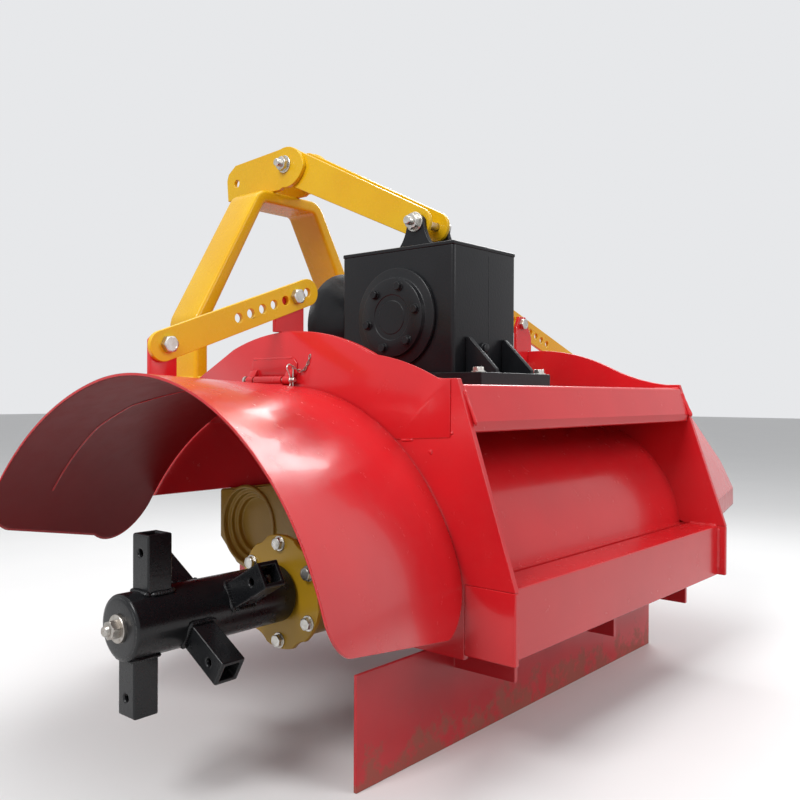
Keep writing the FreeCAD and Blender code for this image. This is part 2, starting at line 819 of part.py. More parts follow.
def blade(label, flange_face_y, angle):
    """A flat shank on the flange's face with its tip folded along the axis."""
    wall = named("blade_wall")
    start = flange_face_y - wall
    half = named("blade_width") / 2
    shank = box(label + "_shank", (named("tube_radius") + 8, 0, -half),
                (named("blade_reach") - 60 - named("tube_radius") - 8, wall, named("blade_width")))
    tip = box(label + "_tip", (named("blade_reach") - 60, -48, -half), (wall, 56, named("blade_width")))
    item = joined(label, [shank, tip])
    item.Placement = FreeCAD.Placement(FreeCAD.Vector(),
                                       FreeCAD.Rotation(FreeCAD.Vector(0, 1, 0), angle))
    return place(item, rotor_x, start, rotor_z)


def impeller():
    """The cantilevered tube and the open box sockets that stand out of it in pairs."""
    end = impeller_end_y
    start = flange_y - named("bearing_gap")
    tube = rod("impeller_tube_solid", "y", (rotor_x, end, rotor_z), named("impeller_tube_radius"),
               start - end)
    bore = rod("impeller_tube_bore", "y", (rotor_x, end - 1, rotor_z), named("shaft_radius"),
               start - end + 2)
    export(cut("impeller_tube", tube, [bore]))
    side = named("socket_side")
    wall = named("socket_wall")
    for station in range(3):
        for half_turn in range(2):
            angle = station * 60 - 90
            back = named("socket_lead") - named("socket_pitch") * station - half_turn * 29
            name = "impeller_socket_%d" % (station * 2 + half_turn)
            inner_r = named("impeller_tube_radius") - 8
            outer = box(name + "_outer", (inner_r, -side / 2, -side / 2),
                        (named("socket_reach") - inner_r, side, side))
            floor_r = named("impeller_tube_radius") + 4
            hollow = box(name + "_hollow", (floor_r, wall - side / 2, wall - side / 2),
                         (named("socket_reach"), side - wall * 2, side - wall * 2))
            cross = rod(name + "_cross", "y", (named("socket_reach") - 35, -side, 0), 7, side * 2)
            drum = rod(name + "_drum", "y", (0, -side, 0), named("impeller_tube_radius"), side * 2)
            item = cut(name, outer, [hollow, cross, drum])
            turn = -(angle + 180 * half_turn)
            item.Placement = FreeCAD.Placement(FreeCAD.Vector(),
                                               FreeCAD.Rotation(FreeCAD.Vector(0, 1, 0), turn))
            export(place(item, rotor_x, plate_left_y - back, rotor_z))


def rotor_shaft():
    """One shaft through both bearings, with the impeller's washer and nut on its left end."""
    shaft = rod("rotor_shaft_bar", "y", (rotor_x, impeller_end_y, rotor_z), named("shaft_radius"),
                plate_right_y + 40 - impeller_end_y)
    washer = rod("rotor_shaft_washer", "y", (rotor_x, impeller_end_y - 8, rotor_z), 26, 8)
    stud = rod("rotor_shaft_stud", "y", (rotor_x, left_y, rotor_z), 10, impeller_end_y - left_y)
    nut = rod("rotor_shaft_nut", "y", (rotor_x, impeller_end_y - 24, rotor_z), 18.5, 17)
    whole = joined("rotor_shaft", [shaft, washer, stud, nut])
    export(whole)


tiller()
impeller()
rotor_shaft()


# ---- side case, bearings and right cover -----------------------------------------------------

def side_case():
    """The gear case that fills the left plate's front notch, its bearing boss and its drive leg."""
    face_y = plate_left_y - 28
    ring_x, ring_z = rotor_x - 287, rotor_z + 96
    slope = (plate_step_z - plate_nose_z) / (plate_step_x - plate_nose_x)
    front_case_x = rotor_x - 399
    front_case_z = plate_step_z - slope * (plate_step_x - front_case_x)
    shell = plate("side_case_shell", "xz", face_y, plate_left_y - face_y, [
        (front_case_x, front_case_z),
        (front_case_x, rotor_z + 57),
        (rotor_x - 332, rotor_z - 4),
        (rotor_x - 215, rotor_z - 40),
        (rotor_x, rotor_z - 105),
        (rotor_x + 75, rotor_z - 74),
        (rotor_x + 75, rotor_z + 74),
        (plate_step_x, plate_step_z),
    ])
    filling = plate("side_case_filling", "xz", plate_left_y, named("plate_wall"), [
        (front_case_x, front_case_z),
        (front_case_x, rotor_z + 57),
        (rotor_x - 332, rotor_z - 4),
        (rotor_x - 215, rotor_z - 40),
        (plate_step_x, rotor_z - 54),
        (plate_step_x, plate_step_z),
    ])
    leg = plate("side_case_leg", "xz", inner_left_y, 44, [
        (front_case_x, rotor_z + 130),
        (front_case_x + 47, rotor_z + 130),
        (rotor_x - 293, rotor_z + 249),
        (rotor_x - 233, rotor_z + 314),
        (rotor_x - 160, deck_z - 82),
        (rotor_x - 160, deck_z - 26),
        (rotor_x - 278, deck_z - 26),
        (front_case_x + 47, rotor_z + 289),
        (front_case_x, rotor_z + 209),
    ])
    boss = rod("side_case_boss", "y", (rotor_x, flange_y + 12, rotor_z), 105, plate_left_y - flange_y - 12)
    bore = rod("side_case_bore", "y", (rotor_x, flange_y + 11, rotor_z),
               named("shaft_radius") + named("running_gap"), plate_left_y - flange_y + 20)
    steps = []
    for index, (radius, depth) in enumerate(((92, 10), (80, 22), (68, 36))):
        steps.append(rod("side_case_step_%d" % index, "y", (ring_x, face_y - 1, ring_z), radius, depth + 1))
    export(cut("side_case", joined("side_case_solid", [shell, filling, leg, boss]), [bore] + steps))
    flange = rod("bearing_flange_disc", "y", (rotor_x, flange_y, rotor_z), 122, 12)
    hole = rod("bearing_flange_bore", "y", (rotor_x, flange_y - 1, rotor_z),
               named("shaft_radius") + named("running_gap"), 14)
    notches = []
    for step in range(6):
        angle = 60 * step
        notches.append(rod("bearing_flange_notch_%d" % step, "y",
                           (rotor_x + cosine(angle) * 172, flange_y - 1, rotor_z + sine(angle) * 172),
                           56, 14))
    export(cut("bearing_flange", flange, [hole] + notches))
    top_x, top_z = rotor_x - 218, deck_z - 65
    tube = rod("cross_tube_bar", "y", (top_x, inner_left_y + 44, top_z), 26,
               gearbox_y + 16 - inner_left_y)
    drop = box("cross_tube_block", (top_x - 75, gearbox_y + 60, top_z - 26),
               (150, 150, deck_z - 8 - top_z + 26))
    export(joined("cross_tube", [tube, drop]))


def right_side():
    hub = rod("right_bearing_block", "y", (rotor_x, plate_right_y, rotor_z), 80, 42)
    hub_bore = rod("right_bearing_bore", "y", (rotor_x, plate_right_y - 1, rotor_z),
                   named("shaft_radius") + named("running_gap"), 44)
    export(cut("right_bearing", hub, [hub_bore]))


COVER_CORNERS = ((7, 9), (13.5, 0), (25, 11), (50, 0), (78, 0), (106, 0), (134, 0), (158, 0))


def cover_section(centre_x):
    """The right cover's folded section: corners by angle up from the back and depth below its radius."""
    inner = [(angle, named("sheet_wall") + inset) for angle, inset in COVER_CORNERS[::-1]]
    section = []
    for angle, inset in list(COVER_CORNERS) + inner:
        reach = named("cover_radius") - inset
        section.append((centre_x + cosine(angle) * reach, rotor_z + sine(angle) * reach))
    return section


def right_cover():
    """A folded sheet over the right end's drive, with the lug for the right stay on its crown."""
    body = doc.addObject("PartDesign::Body", "right_cover_sheet")
    outer_y = plate_right_y + named("cover_reach")
    near_x = rotor_x - named("cover_lead")
    near = profile(body, "xz", -plate_right_y, cover_section(near_x))
    far = profile(body, "xz", -outer_y, cover_section(near_x - named("cover_shear")))
    loft = body.newObject("PartDesign::AdditiveLoft", "right_cover_loft")
    loft.Profile = near
    loft.Sections = [far]
    loft.Ruled = True
    foot_z = rotor_z + sine(106) * named("cover_radius") - 2
    lug = low_lug("right", 1, plate_right_y, foot_z, foot_z)
    export(joined("right_cover", [body, lug]))


side_case()
right_side()
right_cover()


# ---- fender ----------------------------------------------------------------------------------

hinge_x = rotor_x - 220
hinge_y = plate_left_y - 19
hinge_z = deck_z + 12


def fender_corners(centre_x, centre_z):
    """A sheet's section: a round back and crown that runs into a flatter front, joined at both ends."""
    wall = named("fender_wall")
    radius = named("fender_radius")
    front_radius = named("fender_front_radius")
    turn = named("fender_turn")
    far_x = centre_x - cosine(turn) * (front_radius - radius)
    far_z = centre_z - sine(turn) * (front_radius - radius)
    low = named("fender_front_angle")

    def corner(x, z, reach, angle, bend=None):
        place_on = (x + cosine(angle) * reach, z + sine(angle) * reach)
        return place_on if bend is None else place_on + (bend,)

    inside = radius - wall
    front_inside = front_radius - wall
    return [
        corner(centre_x, centre_z, radius, 0, -radius),
        corner(centre_x, centre_z, radius, turn, -front_radius),
        corner(far_x, far_z, front_radius, low),
        corner(far_x, far_z, front_inside, low, front_inside),
        corner(centre_x, centre_z, inside, turn, inside),
        corner(centre_x, centre_z, inside, 0),
    ]


fender_inner_y = plate_left_y - named("fender_gap")
fender_rim_y = plate_left_y - named("fender_reach")
fender_rim_x = rotor_x + 16
fender_drop = 18


def fender_front_z(x, y):
    """Height of the flatter front's outer face."""
    share = (y - fender_rim_y) / (fender_inner_y - fender_rim_y)
    growth = named("fender_front_radius") - named("fender_radius")
    turn = named("fender_turn")
    far_x = fender_rim_x - named("fender_shear") * share - cosine(turn) * growth
    far_z = fender_rim_z - share * fender_drop - sine(turn) * growth
    reach = named("fender_front_radius")
    return far_z + root(reach * reach - (x - far_x) * (x - far_x))


def fender_sheet():
    """The sheet between two equal sections, the inner one further forward and a little lower."""
    body = doc.addObject("PartDesign::Body", "fender_sheet")
    inner = profile(body, "xz", -fender_inner_y,
                    fender_corners(fender_rim_x - named("fender_shear"), fender_rim_z - fender_drop))
    rim = profile(body, "xz", -fender_rim_y, fender_corners(fender_rim_x, fender_rim_z))
    loft = body.newObject("PartDesign::AdditiveLoft", "fender_loft")
    loft.Profile = inner
    loft.Sections = [rim]
    loft.Ruled = True
    return body


def fender():
    """A half-round sheet over the impeller, hung on the side plate and held up by the left stay."""
    inner_y, rim_y = fender_inner_y, fender_rim_y
    bend = named("fender_corner")
    back_z = corner_z + 5
    front = plate("fender_front_cutter", "yz", front_x, rotor_x - front_x, [
        (rim_y - 10, 100),
        (rim_y - 10, back_z + 150),
        (rim_y, back_z + 150, -bend),
        (rim_y + 75, back_z + 60),
        (plate_left_y - 180, back_z - 3, -110),
        (inner_y, back_z + 85),
        (inner_y + 10, back_z + 85),
        (inner_y + 10, 100),
    ])
    back = plate("fender_back_cutter", "yz", rotor_x, fender_back_x + 40 - rotor_x, [
        (rim_y - 10, 100),
        (rim_y - 10, back_z + 62),
        (rim_y, back_z + 62, -75),
        (rim_y + 48, back_z - 5),
        (plate_left_y - 113, back_z - 85, -125),
        (inner_y, back_z + 26),
        (inner_y + 10, back_z + 26),
        (inner_y + 10, 100),
    ])
    sheet_part = cut("fender_trimmed", fender_sheet(), [front, back])
    knuckle = rod("fender_knuckle", "x", (hinge_x - 50, hinge_y, hinge_z),
                  named("knuckle_radius"), 100)
    web = box("fender_web", (hinge_x - 50, hinge_y - 5, hinge_z - 27), (100, 10, 27))
    bore = rod("fender_knuckle_bore", "x", (hinge_x - 51, hinge_y, hinge_z),
               named("hinge_radius") + named("running_gap"), 102)
    lug_middle_x = lug_x(-1) + named("stay_wall") / 2
    hole_y = plate_left_y - named("stay_outset")
    near_z, far_z = (fender_front_z(lug_middle_x, hole_y + step) - 2.5 for step in (30, -38))
    lug = low_lug("left", -1, plate_left_y, near_z, far_z)
    export(cut("fender", joined("fender_solid", [sheet_part, knuckle, web, lug]), [bore]))


def fender_hinge():
    """Two lugs on the side plate and the pull-out pin that the fender's knuckle turns on."""
    lugs = [box("fender_lug_back", (hinge_x - 80, plate_left_y - 6, hinge_z + 13), (160, 6, 40))]
    for index, start in enumerate((hinge_x - 80, hinge_x + 56)):
        lugs.append(rod("fender_lug_%d" % index, "x", (start, hinge_y, hinge_z),
                        named("knuckle_radius"), 24))
        lugs.append(box("fender_lug_root_%d" % index,
                        (start, hinge_y, hinge_z - named("knuckle_radius")),
                        (24, plate_left_y - hinge_y, 43)))
    hole = rod("fender_lug_hole", "x", (hinge_x - 90, hinge_y, hinge_z), named("hinge_radius"), 180)
    export(cut("fender_hinge_lugs", joined("fender_lugs_solid", lugs), [hole]))
    export(rod("fender_hinge_pin", "x", (hinge_x - 92, hinge_y, hinge_z), named("hinge_radius"), 184))


fender()
fender_hinge()


# ---- tail board and stands -------------------------------------------------------------------

def tail_board():
    x = back_x - named("board_setback")
    start = plate_left_y - named("board_reach")
    end = inner_right_y - 6
    pieces = [box("tail_board_blade", (x - named("board_wall"), start, 0),
                  (named("board_wall"), end - start, named("plate_bottom") - 5))]
    beam_x = back_x - named("beam_inset") - named("lower_beam_length")
    low = corner_z - named("lower_beam_height")
    for index in range(3):
        y = inner_left_y + 100 + (inner_width - 212) / 2 * index
        pieces.append(box("tail_board_arm_%d" % index, (x, y, named("plate_bottom") - 65),
                          (beam_x - x + 40, 12, low - named("plate_bottom") + 65)))
    export(joined("tail_board", pieces))


def stand():
    """A parking leg in a sleeve on the front beam, under the headstock."""
    side = named("stand_side")
    gap = named("stand_gap")
    wall = named("stand_sleeve_wall")
    outer_side = side + (gap + wall) * 2
    x = front_beam_x - outer_side
    y = hitch_y - outer_side / 2
    low = front_beam_top - named("front_beam_height") - 60
    block = box("stand_sleeve_block", (x, y, low), (outer_side, outer_side, front_beam_top - low))
    bore = box("stand_sleeve_bore", (x + wall, y + wall, low - 1),
               (side + gap * 2, side + gap * 2, front_beam_top - low + 2))
    export(cut("stand_sleeve", block, [bore]))
    leg_x, leg_y = x + wall + gap, y + wall + gap
    leg = box("stand_leg_tube", (leg_x, leg_y, 8), (side, side, front_beam_top - 40))
    pad = box("stand_leg_pad", (leg_x - 12, leg_y - 35, 0), (side + 24, side + 70, 8))
    export(joined("stand_leg", [leg, pad]))


tail_board()
stand()


# ---- check and write -------------------------------------------------------------------------

doc.recompute()
failed = [item.Name for item in doc.Objects if "Invalid" in item.State or "Error" in item.State]
for item in exports:
    shape = item.Shape
    if shape.isNull() or not shape.isValid() or not shape.Solids:
        failed.append(item.Label)
if failed:
    raise RuntimeError("failed objects: " + ", ".join(failed))
os.makedirs("parts", exist_ok=True)
for item in exports:
    item.Shape.exportStep("parts/%s.step" % item.Label)
print(len(exports), "parts written")
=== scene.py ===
import json

import bmesh
import bpy
import numpy as np
from mathutils import Matrix, Vector

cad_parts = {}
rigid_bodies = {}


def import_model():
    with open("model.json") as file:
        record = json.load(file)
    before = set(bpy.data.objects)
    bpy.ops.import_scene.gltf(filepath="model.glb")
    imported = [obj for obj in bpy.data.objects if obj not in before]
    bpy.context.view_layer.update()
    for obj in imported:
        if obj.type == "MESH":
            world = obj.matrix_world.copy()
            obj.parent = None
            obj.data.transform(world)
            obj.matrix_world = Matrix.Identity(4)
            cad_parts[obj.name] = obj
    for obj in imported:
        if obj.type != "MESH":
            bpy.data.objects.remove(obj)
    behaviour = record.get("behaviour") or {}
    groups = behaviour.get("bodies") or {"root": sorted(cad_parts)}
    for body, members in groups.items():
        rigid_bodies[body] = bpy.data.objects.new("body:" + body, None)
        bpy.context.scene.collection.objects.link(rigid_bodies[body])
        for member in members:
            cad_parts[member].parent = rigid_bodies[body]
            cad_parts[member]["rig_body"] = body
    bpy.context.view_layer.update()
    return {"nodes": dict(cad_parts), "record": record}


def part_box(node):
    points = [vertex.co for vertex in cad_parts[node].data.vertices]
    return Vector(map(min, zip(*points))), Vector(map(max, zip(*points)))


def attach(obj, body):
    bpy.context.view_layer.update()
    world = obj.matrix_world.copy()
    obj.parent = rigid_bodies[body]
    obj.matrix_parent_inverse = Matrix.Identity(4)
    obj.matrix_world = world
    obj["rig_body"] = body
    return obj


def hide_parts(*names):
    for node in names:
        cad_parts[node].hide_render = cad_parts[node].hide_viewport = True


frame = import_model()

# ---- camera, floor and light -----------------------------------------------------------------
# The viewer stands off the machine's left rear corner, a little under the height of its deck. The
# floor is one pale sheet under a pale sky. Two soft boxes and a top lamp light the paint evenly, and a
# smaller soft box stands where the fender's paint mirrors it.

turn, dip, roll = 0.7062, -0.0059, 0.004
eye = Vector((1.588, -1.8655, 0.774))
camera = bpy.data.objects.new("camera", bpy.data.cameras.new("camera"))
camera.data.sensor_width = 36.0
camera.data.lens = 38.22
camera.matrix_world = (Matrix.Translation(eye) @ Matrix.Rotation(turn, 4, "Z")
                       @ Matrix.Rotation(np.pi / 2 + dip, 4, "X") @ Matrix.Rotation(roll, 4, "Z"))
bpy.context.scene.collection.objects.link(camera)
bpy.context.scene.camera = camera
bpy.context.scene.view_settings.view_transform = "Standard"


def add(tree, kind, values=None, **settings):
    """A shader node of a kind, its settings and its inputs, each a plain value or another node's socket."""
    made = tree.nodes.new("ShaderNode" + kind)
    for key, value in settings.items():
        setattr(made, key, value)
    for key, value in (values or {}).items():
        if isinstance(value, bpy.types.NodeSocket):
            tree.links.new(value, made.inputs[key])
        else:
            made.inputs[key].default_value = value
    return made


def sums(tree, operation, first, second, third=0.5, clamp=False):
    """One arithmetic step on numbers or sockets."""
    made = add(tree, "Math", {0: first, 1: second, 2: third}, operation=operation, use_clamp=clamp)
    return made.outputs[0]


def seen_directly(tree):
    """1 for a ray from the camera, through a clear surface or off a glossy one, and 0 for soft light."""
    ray = add(tree, "LightPath").outputs
    straight = sums(tree, "MAXIMUM", ray["Is Camera Ray"], ray["Is Transmission Ray"])
    return sums(tree, "MAXIMUM", straight, ray["Is Glossy Ray"])


sky = bpy.data.worlds.new("pale_sky")
bpy.context.scene.world = sky
sky.use_nodes = True
tree = sky.node_tree
tree.nodes.clear()
level = sums(tree, "MULTIPLY_ADD", seen_directly(tree), 0.36, 0.48)
shown = add(tree, "Background", {"Color": (0.95, 0.96, 0.98, 1), "Strength": level})
tree.links.new(shown.outputs[0], add(tree, "OutputWorld").inputs["Surface"])


def soft_box(name, place, target, size, power):
    """A square lamp at a place, turned to face a target."""
    lamp = bpy.data.lights.new(name, "AREA")
    lamp.shape = "RECTANGLE"
    lamp.size, lamp.size_y = size
    lamp.energy = power
    holder = bpy.data.objects.new(name, lamp)
    aim = (Vector(target) - Vector(place)).to_track_quat("-Z", "Y")
    holder.matrix_world = Matrix.Translation(place) @ aim.to_matrix().to_4x4()
    bpy.context.scene.collection.objects.link(holder)


middle = (0.0, -0.155, 0.6)
soft_box("box_over_fender", (0.5, -4.35, 4.4), middle, (2.4, 1.6), 190)
soft_box("box_behind", (4.6, 1.05, 3.0), middle, (3.0, 2.4), 80)
soft_box("top_lamp", (-0.6, 0.25, 5.2), middle, (4.0, 4.0), 110)
soft_box("fender_gloss", (-0.95, 2.35, 2.50), (0.48, -0.85, 0.70), (1.7, 0.8), 40)


def grained(tree, scale, detail=3.0, rough=0.55, where=None):
    """Noise on the object's own coordinates."""
    place = where or add(tree, "TexCoord").outputs["Object"]
    return add(tree, "TexNoise", {"Vector": place, "Scale": scale, "Detail": detail,
                                  "Roughness": rough}).outputs["Fac"]


def stretch(tree, value, low, high, to_low=0.0, to_high=1.0):
    """A value's span from low to high, moved to another span and held there at its ends."""
    return add(tree, "MapRange", {"Value": value, "From Min": low, "From Max": high,
                                  "To Min": to_low, "To Max": to_high}).outputs["Result"]


def blended(tree, share, first, second):
    """Two colours mixed by a share."""
    return add(tree, "Mix", {"Factor": share, 6: first, 7: second}, data_type="RGBA").outputs[2]


floor_material = bpy.data.materials.new("pale_floor")
floor_material.use_nodes = True
tree = floor_material.node_tree
surface = tree.nodes["Principled BSDF"]
tint = blended(tree, grained(tree, 1.7), (0.80, 0.80, 0.80, 1), (0.84, 0.84, 0.835, 1))
tint = blended(tree, seen_directly(tree), (0.30, 0.29, 0.28, 1), tint)
tree.links.new(tint, surface.inputs["Base Color"])
surface.inputs["Roughness"].default_value = 0.75
reach = 30.0
mesh = bpy.data.meshes.new("floor")
mesh.from_pydata([(-reach, -reach, 0), (reach, -reach, 0), (reach, reach, 0), (-reach, reach, 0)],
                 [], [(0, 1, 2, 3)])
mesh.materials.append(floor_material)
floor = bpy.data.objects.new("floor", mesh)
bpy.context.scene.collection.objects.link(floor)


# ---- side plates -----------------------------------------------------------------------------
# Two 14 mm steel plates, cut to outline and painted red. The left one carries a thin sheet over its
# hump, tack-welded along the edge, and the paint is worn to pale metal on corners and along cuts.

def skin(name, blocks, looped=False, strip=False):
    """One mesh from blocks of rings: block[ring, point] is a place. Quads join each ring to the next
    and each point to its neighbour round the ring. The end rings are closed by one flat face each, or,
    where strip is set, by quads between the ring's two halves, or joined together where looped is."""
    corners, faces, base = [], [], 0
    for rings in blocks:
        count, around = rings.shape[:2]
        index = base + np.arange(count * around).reshape(count, around)
        ahead = np.roll(index, -1, axis=1)
        first, last = (index, np.roll(index, -1, axis=0)) if looped else (index[:-1], index[1:])
        first_ahead, last_ahead = (ahead, np.roll(ahead, -1, axis=0)) if looped else (ahead[:-1], ahead[1:])
        faces += np.stack([first, first_ahead, last_ahead, last], -1).reshape(-1, 4).tolist()
        if strip:
            half = around // 2
            for ring in (index[0], index[-1]):
                faces += np.stack([ring[:half - 1], ring[1:half], ring[::-1][1:half],
                                   ring[::-1][:half - 1]], -1).tolist()
        elif not looped:
            faces += [index[0][::-1].tolist(), index[-1].tolist()]
        corners.append(rings.reshape(-1, 3))
        base += count * around
    mesh = bpy.data.meshes.new(name)
    mesh.from_pydata(np.concatenate(corners), [], faces)
    made = bpy.data.objects.new(name, mesh)
    bpy.context.scene.collection.objects.link(made)
    return made


def settled(made, body, slot_name, material, nodes=(), edge=0.0, steps=2, crease=35):
    """Merges and closes a mesh, turns its faces out, rounds its edges and gives it its finish and body."""
    work = bmesh.new()
    work.from_mesh(made.data)
    bmesh.ops.remove_doubles(work, verts=work.verts, dist=1e-6)
    bmesh.ops.dissolve_degenerate(work, edges=work.edges, dist=1e-6)
    bmesh.ops.recalc_face_normals(work, faces=work.faces)
    work.to_mesh(made.data)
    work.free()
    made.data.shade_smooth()
    made.data.set_sharp_from_angle(angle=np.radians(crease))
    if edge:
        rounding = made.modifiers.new("rounded_edges", "BEVEL")
        rounding.width = edge
        rounding.segments = steps
        rounding.limit_method = "ANGLE"
        rounding.angle_limit = np.radians(crease)
        rounding.use_clamp_overlap = False
        rounding.harden_normals = True
    made.data.materials.clear()
    made.data.materials.append(material)
    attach(made, body)
    if nodes:
        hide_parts(*nodes)
    return made


def softened(node, material, edge=0.002, steps=2, flat=0.3):
    """A CAD node's copy with its flat faces joined and its edges rounded, in the node's place."""
    source = frame["nodes"][node]
    made = bpy.data.objects.new(node + "_piece", source.data.copy())
    bpy.context.scene.collection.objects.link(made)
    work = bmesh.new()
    work.from_mesh(made.data)
    bmesh.ops.remove_doubles(work, verts=work.verts, dist=1e-5)
    bmesh.ops.dissolve_limit(work, angle_limit=np.radians(flat), verts=work.verts, edges=work.edges)
    work.to_mesh(made.data)
    work.free()
    slot_name = slot_of[node]
    return settled(made, source["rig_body"], slot_name, material, [node], edge, steps)


slot_of = {}
for part in frame["record"]["subparts"]:
    slot_of[part["node"]] = part["material_slot"]


def new_group(name, inputs):
    """A node group with its named inputs, whose outputs are a surface's colour, roughness, metal, height."""
    group = bpy.data.node_groups.new(name, "ShaderNodeTree")
    outputs = [("Color", "Color"), ("Roughness", "Float"), ("Metal", "Float"), ("Height", "Float")]
    for way, sockets in (("INPUT", inputs), ("OUTPUT", outputs)):
        for label, kind in sockets:
            group.interface.new_socket(label, in_out=way, socket_type="NodeSocket" + kind)
    return group, group.nodes.new("NodeGroupInput").outputs, group.nodes.new("NodeGroupOutput").inputs


def worn_edges(tree, radius):
    """1 where the surface turns sharply within a radius, and 0 on flat ground: the normal of the rounded
    surface is set against the true one."""
    rounded = add(tree, "Bevel", {"Radius": radius}, samples=4).outputs["Normal"]
    true = add(tree, "NewGeometry").outputs["Normal"]
    agreement = add(tree, "VectorMath", {0: rounded, 1: true}, operation="DOT_PRODUCT").outputs["Value"]
    return stretch(tree, agreement, 0.97, 0.80)


coat_group, given, put = new_group(
    "worn_coat",
    [("Paint", "Color"), ("Shade", "Color"), ("Bare", "Color"), ("Dust", "Color"), ("Edge Wear", "Float"),
     ("Dustiness", "Float"), ("Mud Height", "Float"), ("Peel Scale", "Float"), ("Sheen Roughness", "Float")])
tree = coat_group
place = add(tree, "TexCoord").outputs["Object"]
drift = stretch(tree, grained(tree, 2.6, 4, 0.6, place), 0.32, 0.68)
colour = blended(tree, drift, given["Paint"], given["Shade"])
streaks = add(tree, "Mapping", {"Vector": place, "Scale": (9, 9, 1.1)}).outputs[0]
smear = stretch(tree, grained(tree, 2.2, 5, 0.62, streaks), 0.52, 0.80)
upward = add(tree, "SeparateXYZ", {0: add(tree, "NewGeometry").outputs["Normal"]}).outputs["Z"]
settling = sums(tree, "MULTIPLY_ADD", stretch(tree, upward, 0.2, 1.0), 0.8, 0.2)
specks = stretch(tree, grained(tree, 21, 6, 0.7, place), 0.42, 0.74)
film = sums(tree, "MULTIPLY_ADD", specks, 0.6, sums(tree, "MULTIPLY", smear, 0.4))
dusty = sums(tree, "MULTIPLY", sums(tree, "MULTIPLY", film, settling), given["Dustiness"], clamp=True)
colour = blended(tree, dusty, colour, given["Dust"])
height_here = add(tree, "SeparateXYZ", {0: place}).outputs["Z"]
clods = stretch(tree, grained(tree, 14, 7, 0.72, place), 0.36, 0.62)
splash = sums(tree, "MULTIPLY", clods, given["Mud Height"])
wet = stretch(tree, sums(tree, "SUBTRACT", splash, height_here), 0.0, 0.05)
muddy = sums(tree, "MULTIPLY", wet, 0.55)
colour = blended(tree, muddy, colour, (0.19, 0.115, 0.07, 1))
fray = stretch(tree, grained(tree, 85, 5, 0.7, place), 0.40, 0.62)
patches = stretch(tree, grained(tree, 7, 3, 0.5, place), 0.38, 0.66)
rubbed = sums(tree, "MULTIPLY", worn_edges(tree, 0.004), sums(tree, "MULTIPLY", fray, patches))
rubbed = sums(tree, "MULTIPLY", rubbed, given["Edge Wear"], clamp=True)
colour = blended(tree, rubbed, colour, given["Bare"])
orange_peel = grained(tree, given["Peel Scale"], 2, 0.5, place)
tree.links.new(colour, put["Color"])
tree.links.new(sums(tree, "MULTIPLY", rubbed, 0.5), put["Metal"])
rough = sums(tree, "MULTIPLY_ADD", sums(tree, "ADD", dusty, muddy), 0.45, given["Sheen Roughness"])
rough = sums(tree, "MULTIPLY_ADD", specks, 0.07, sums(tree, "MULTIPLY_ADD", rubbed, 0.15, rough))
tree.links.new(rough, put["Roughness"])
raised = sums(tree, "MULTIPLY_ADD", muddy, 2.0, sums(tree, "MULTIPLY_ADD", rubbed, -0.6, orange_peel))
tree.links.new(raised, put["Height"])


def finish(name, group, values, bump=0.00006, **constants):
    """A material: a group's outputs on one Principled shader, and the shader's plain values."""
    made = bpy.data.materials.new(name)
    made.use_nodes = True
    tree = made.node_tree
    surface = tree.nodes["Principled BSDF"]
    for key, value in constants.items():
        surface.inputs[key.replace("_", " ")].default_value = value
    effect = tree.nodes.new("ShaderNodeGroup")
    effect.node_tree = group
    for key, value in values.items():
        effect.inputs[key].default_value = value
    relief = add(tree, "Bump", {"Strength": 1.0, "Distance": bump, "Height": effect.outputs["Height"]})
    for key, socket in (("Base Color", "Color"), ("Roughness", "Roughness"), ("Metallic", "Metal")):
        tree.links.new(effect.outputs[socket], surface.inputs[key])
    tree.links.new(relief.outputs[0], surface.inputs["Normal"])
    return made


def painted(name, paint, shade, bare=(0.42, 0.25, 0.24, 1), wear=0.4, dust=0.05, mud=0.10, peel=260,
            rough=0.22, coat=0.15, bump=0.00006, dust_colour=(0.52, 0.40, 0.30, 1), shine=0.42):
    """Sprayed paint on steel, with its drift of colour, dust, splashes from the ground and rubbed edges."""
    return finish(name, coat_group, {
        "Paint": paint, "Shade": shade, "Bare": bare, "Dust": dust_colour, "Edge Wear": wear,
        "Dustiness": dust, "Mud Height": mud, "Peel Scale": peel, "Sheen Roughness": rough,
    }, bump, Coat_Weight=coat, Coat_Roughness=0.06, Specular_IOR_Level=shine)


red_paint = painted("red_gloss", (0.68, 0.016, 0.022, 1), (0.58, 0.012, 0.018, 1))
red_worn = painted("red_worn", (0.67, 0.016, 0.022, 1), (0.56, 0.012, 0.018, 1),
                   wear=0.75, dust=0.10, mud=0.26)


def red(name, blocks, nodes=(), looped=False, strip=False, **how):
    """A piece of the frame in red paint, made from blocks of rings."""
    return settled(skin(name, blocks, looped, strip), "frame", "red_paint", red_paint, nodes, **how)


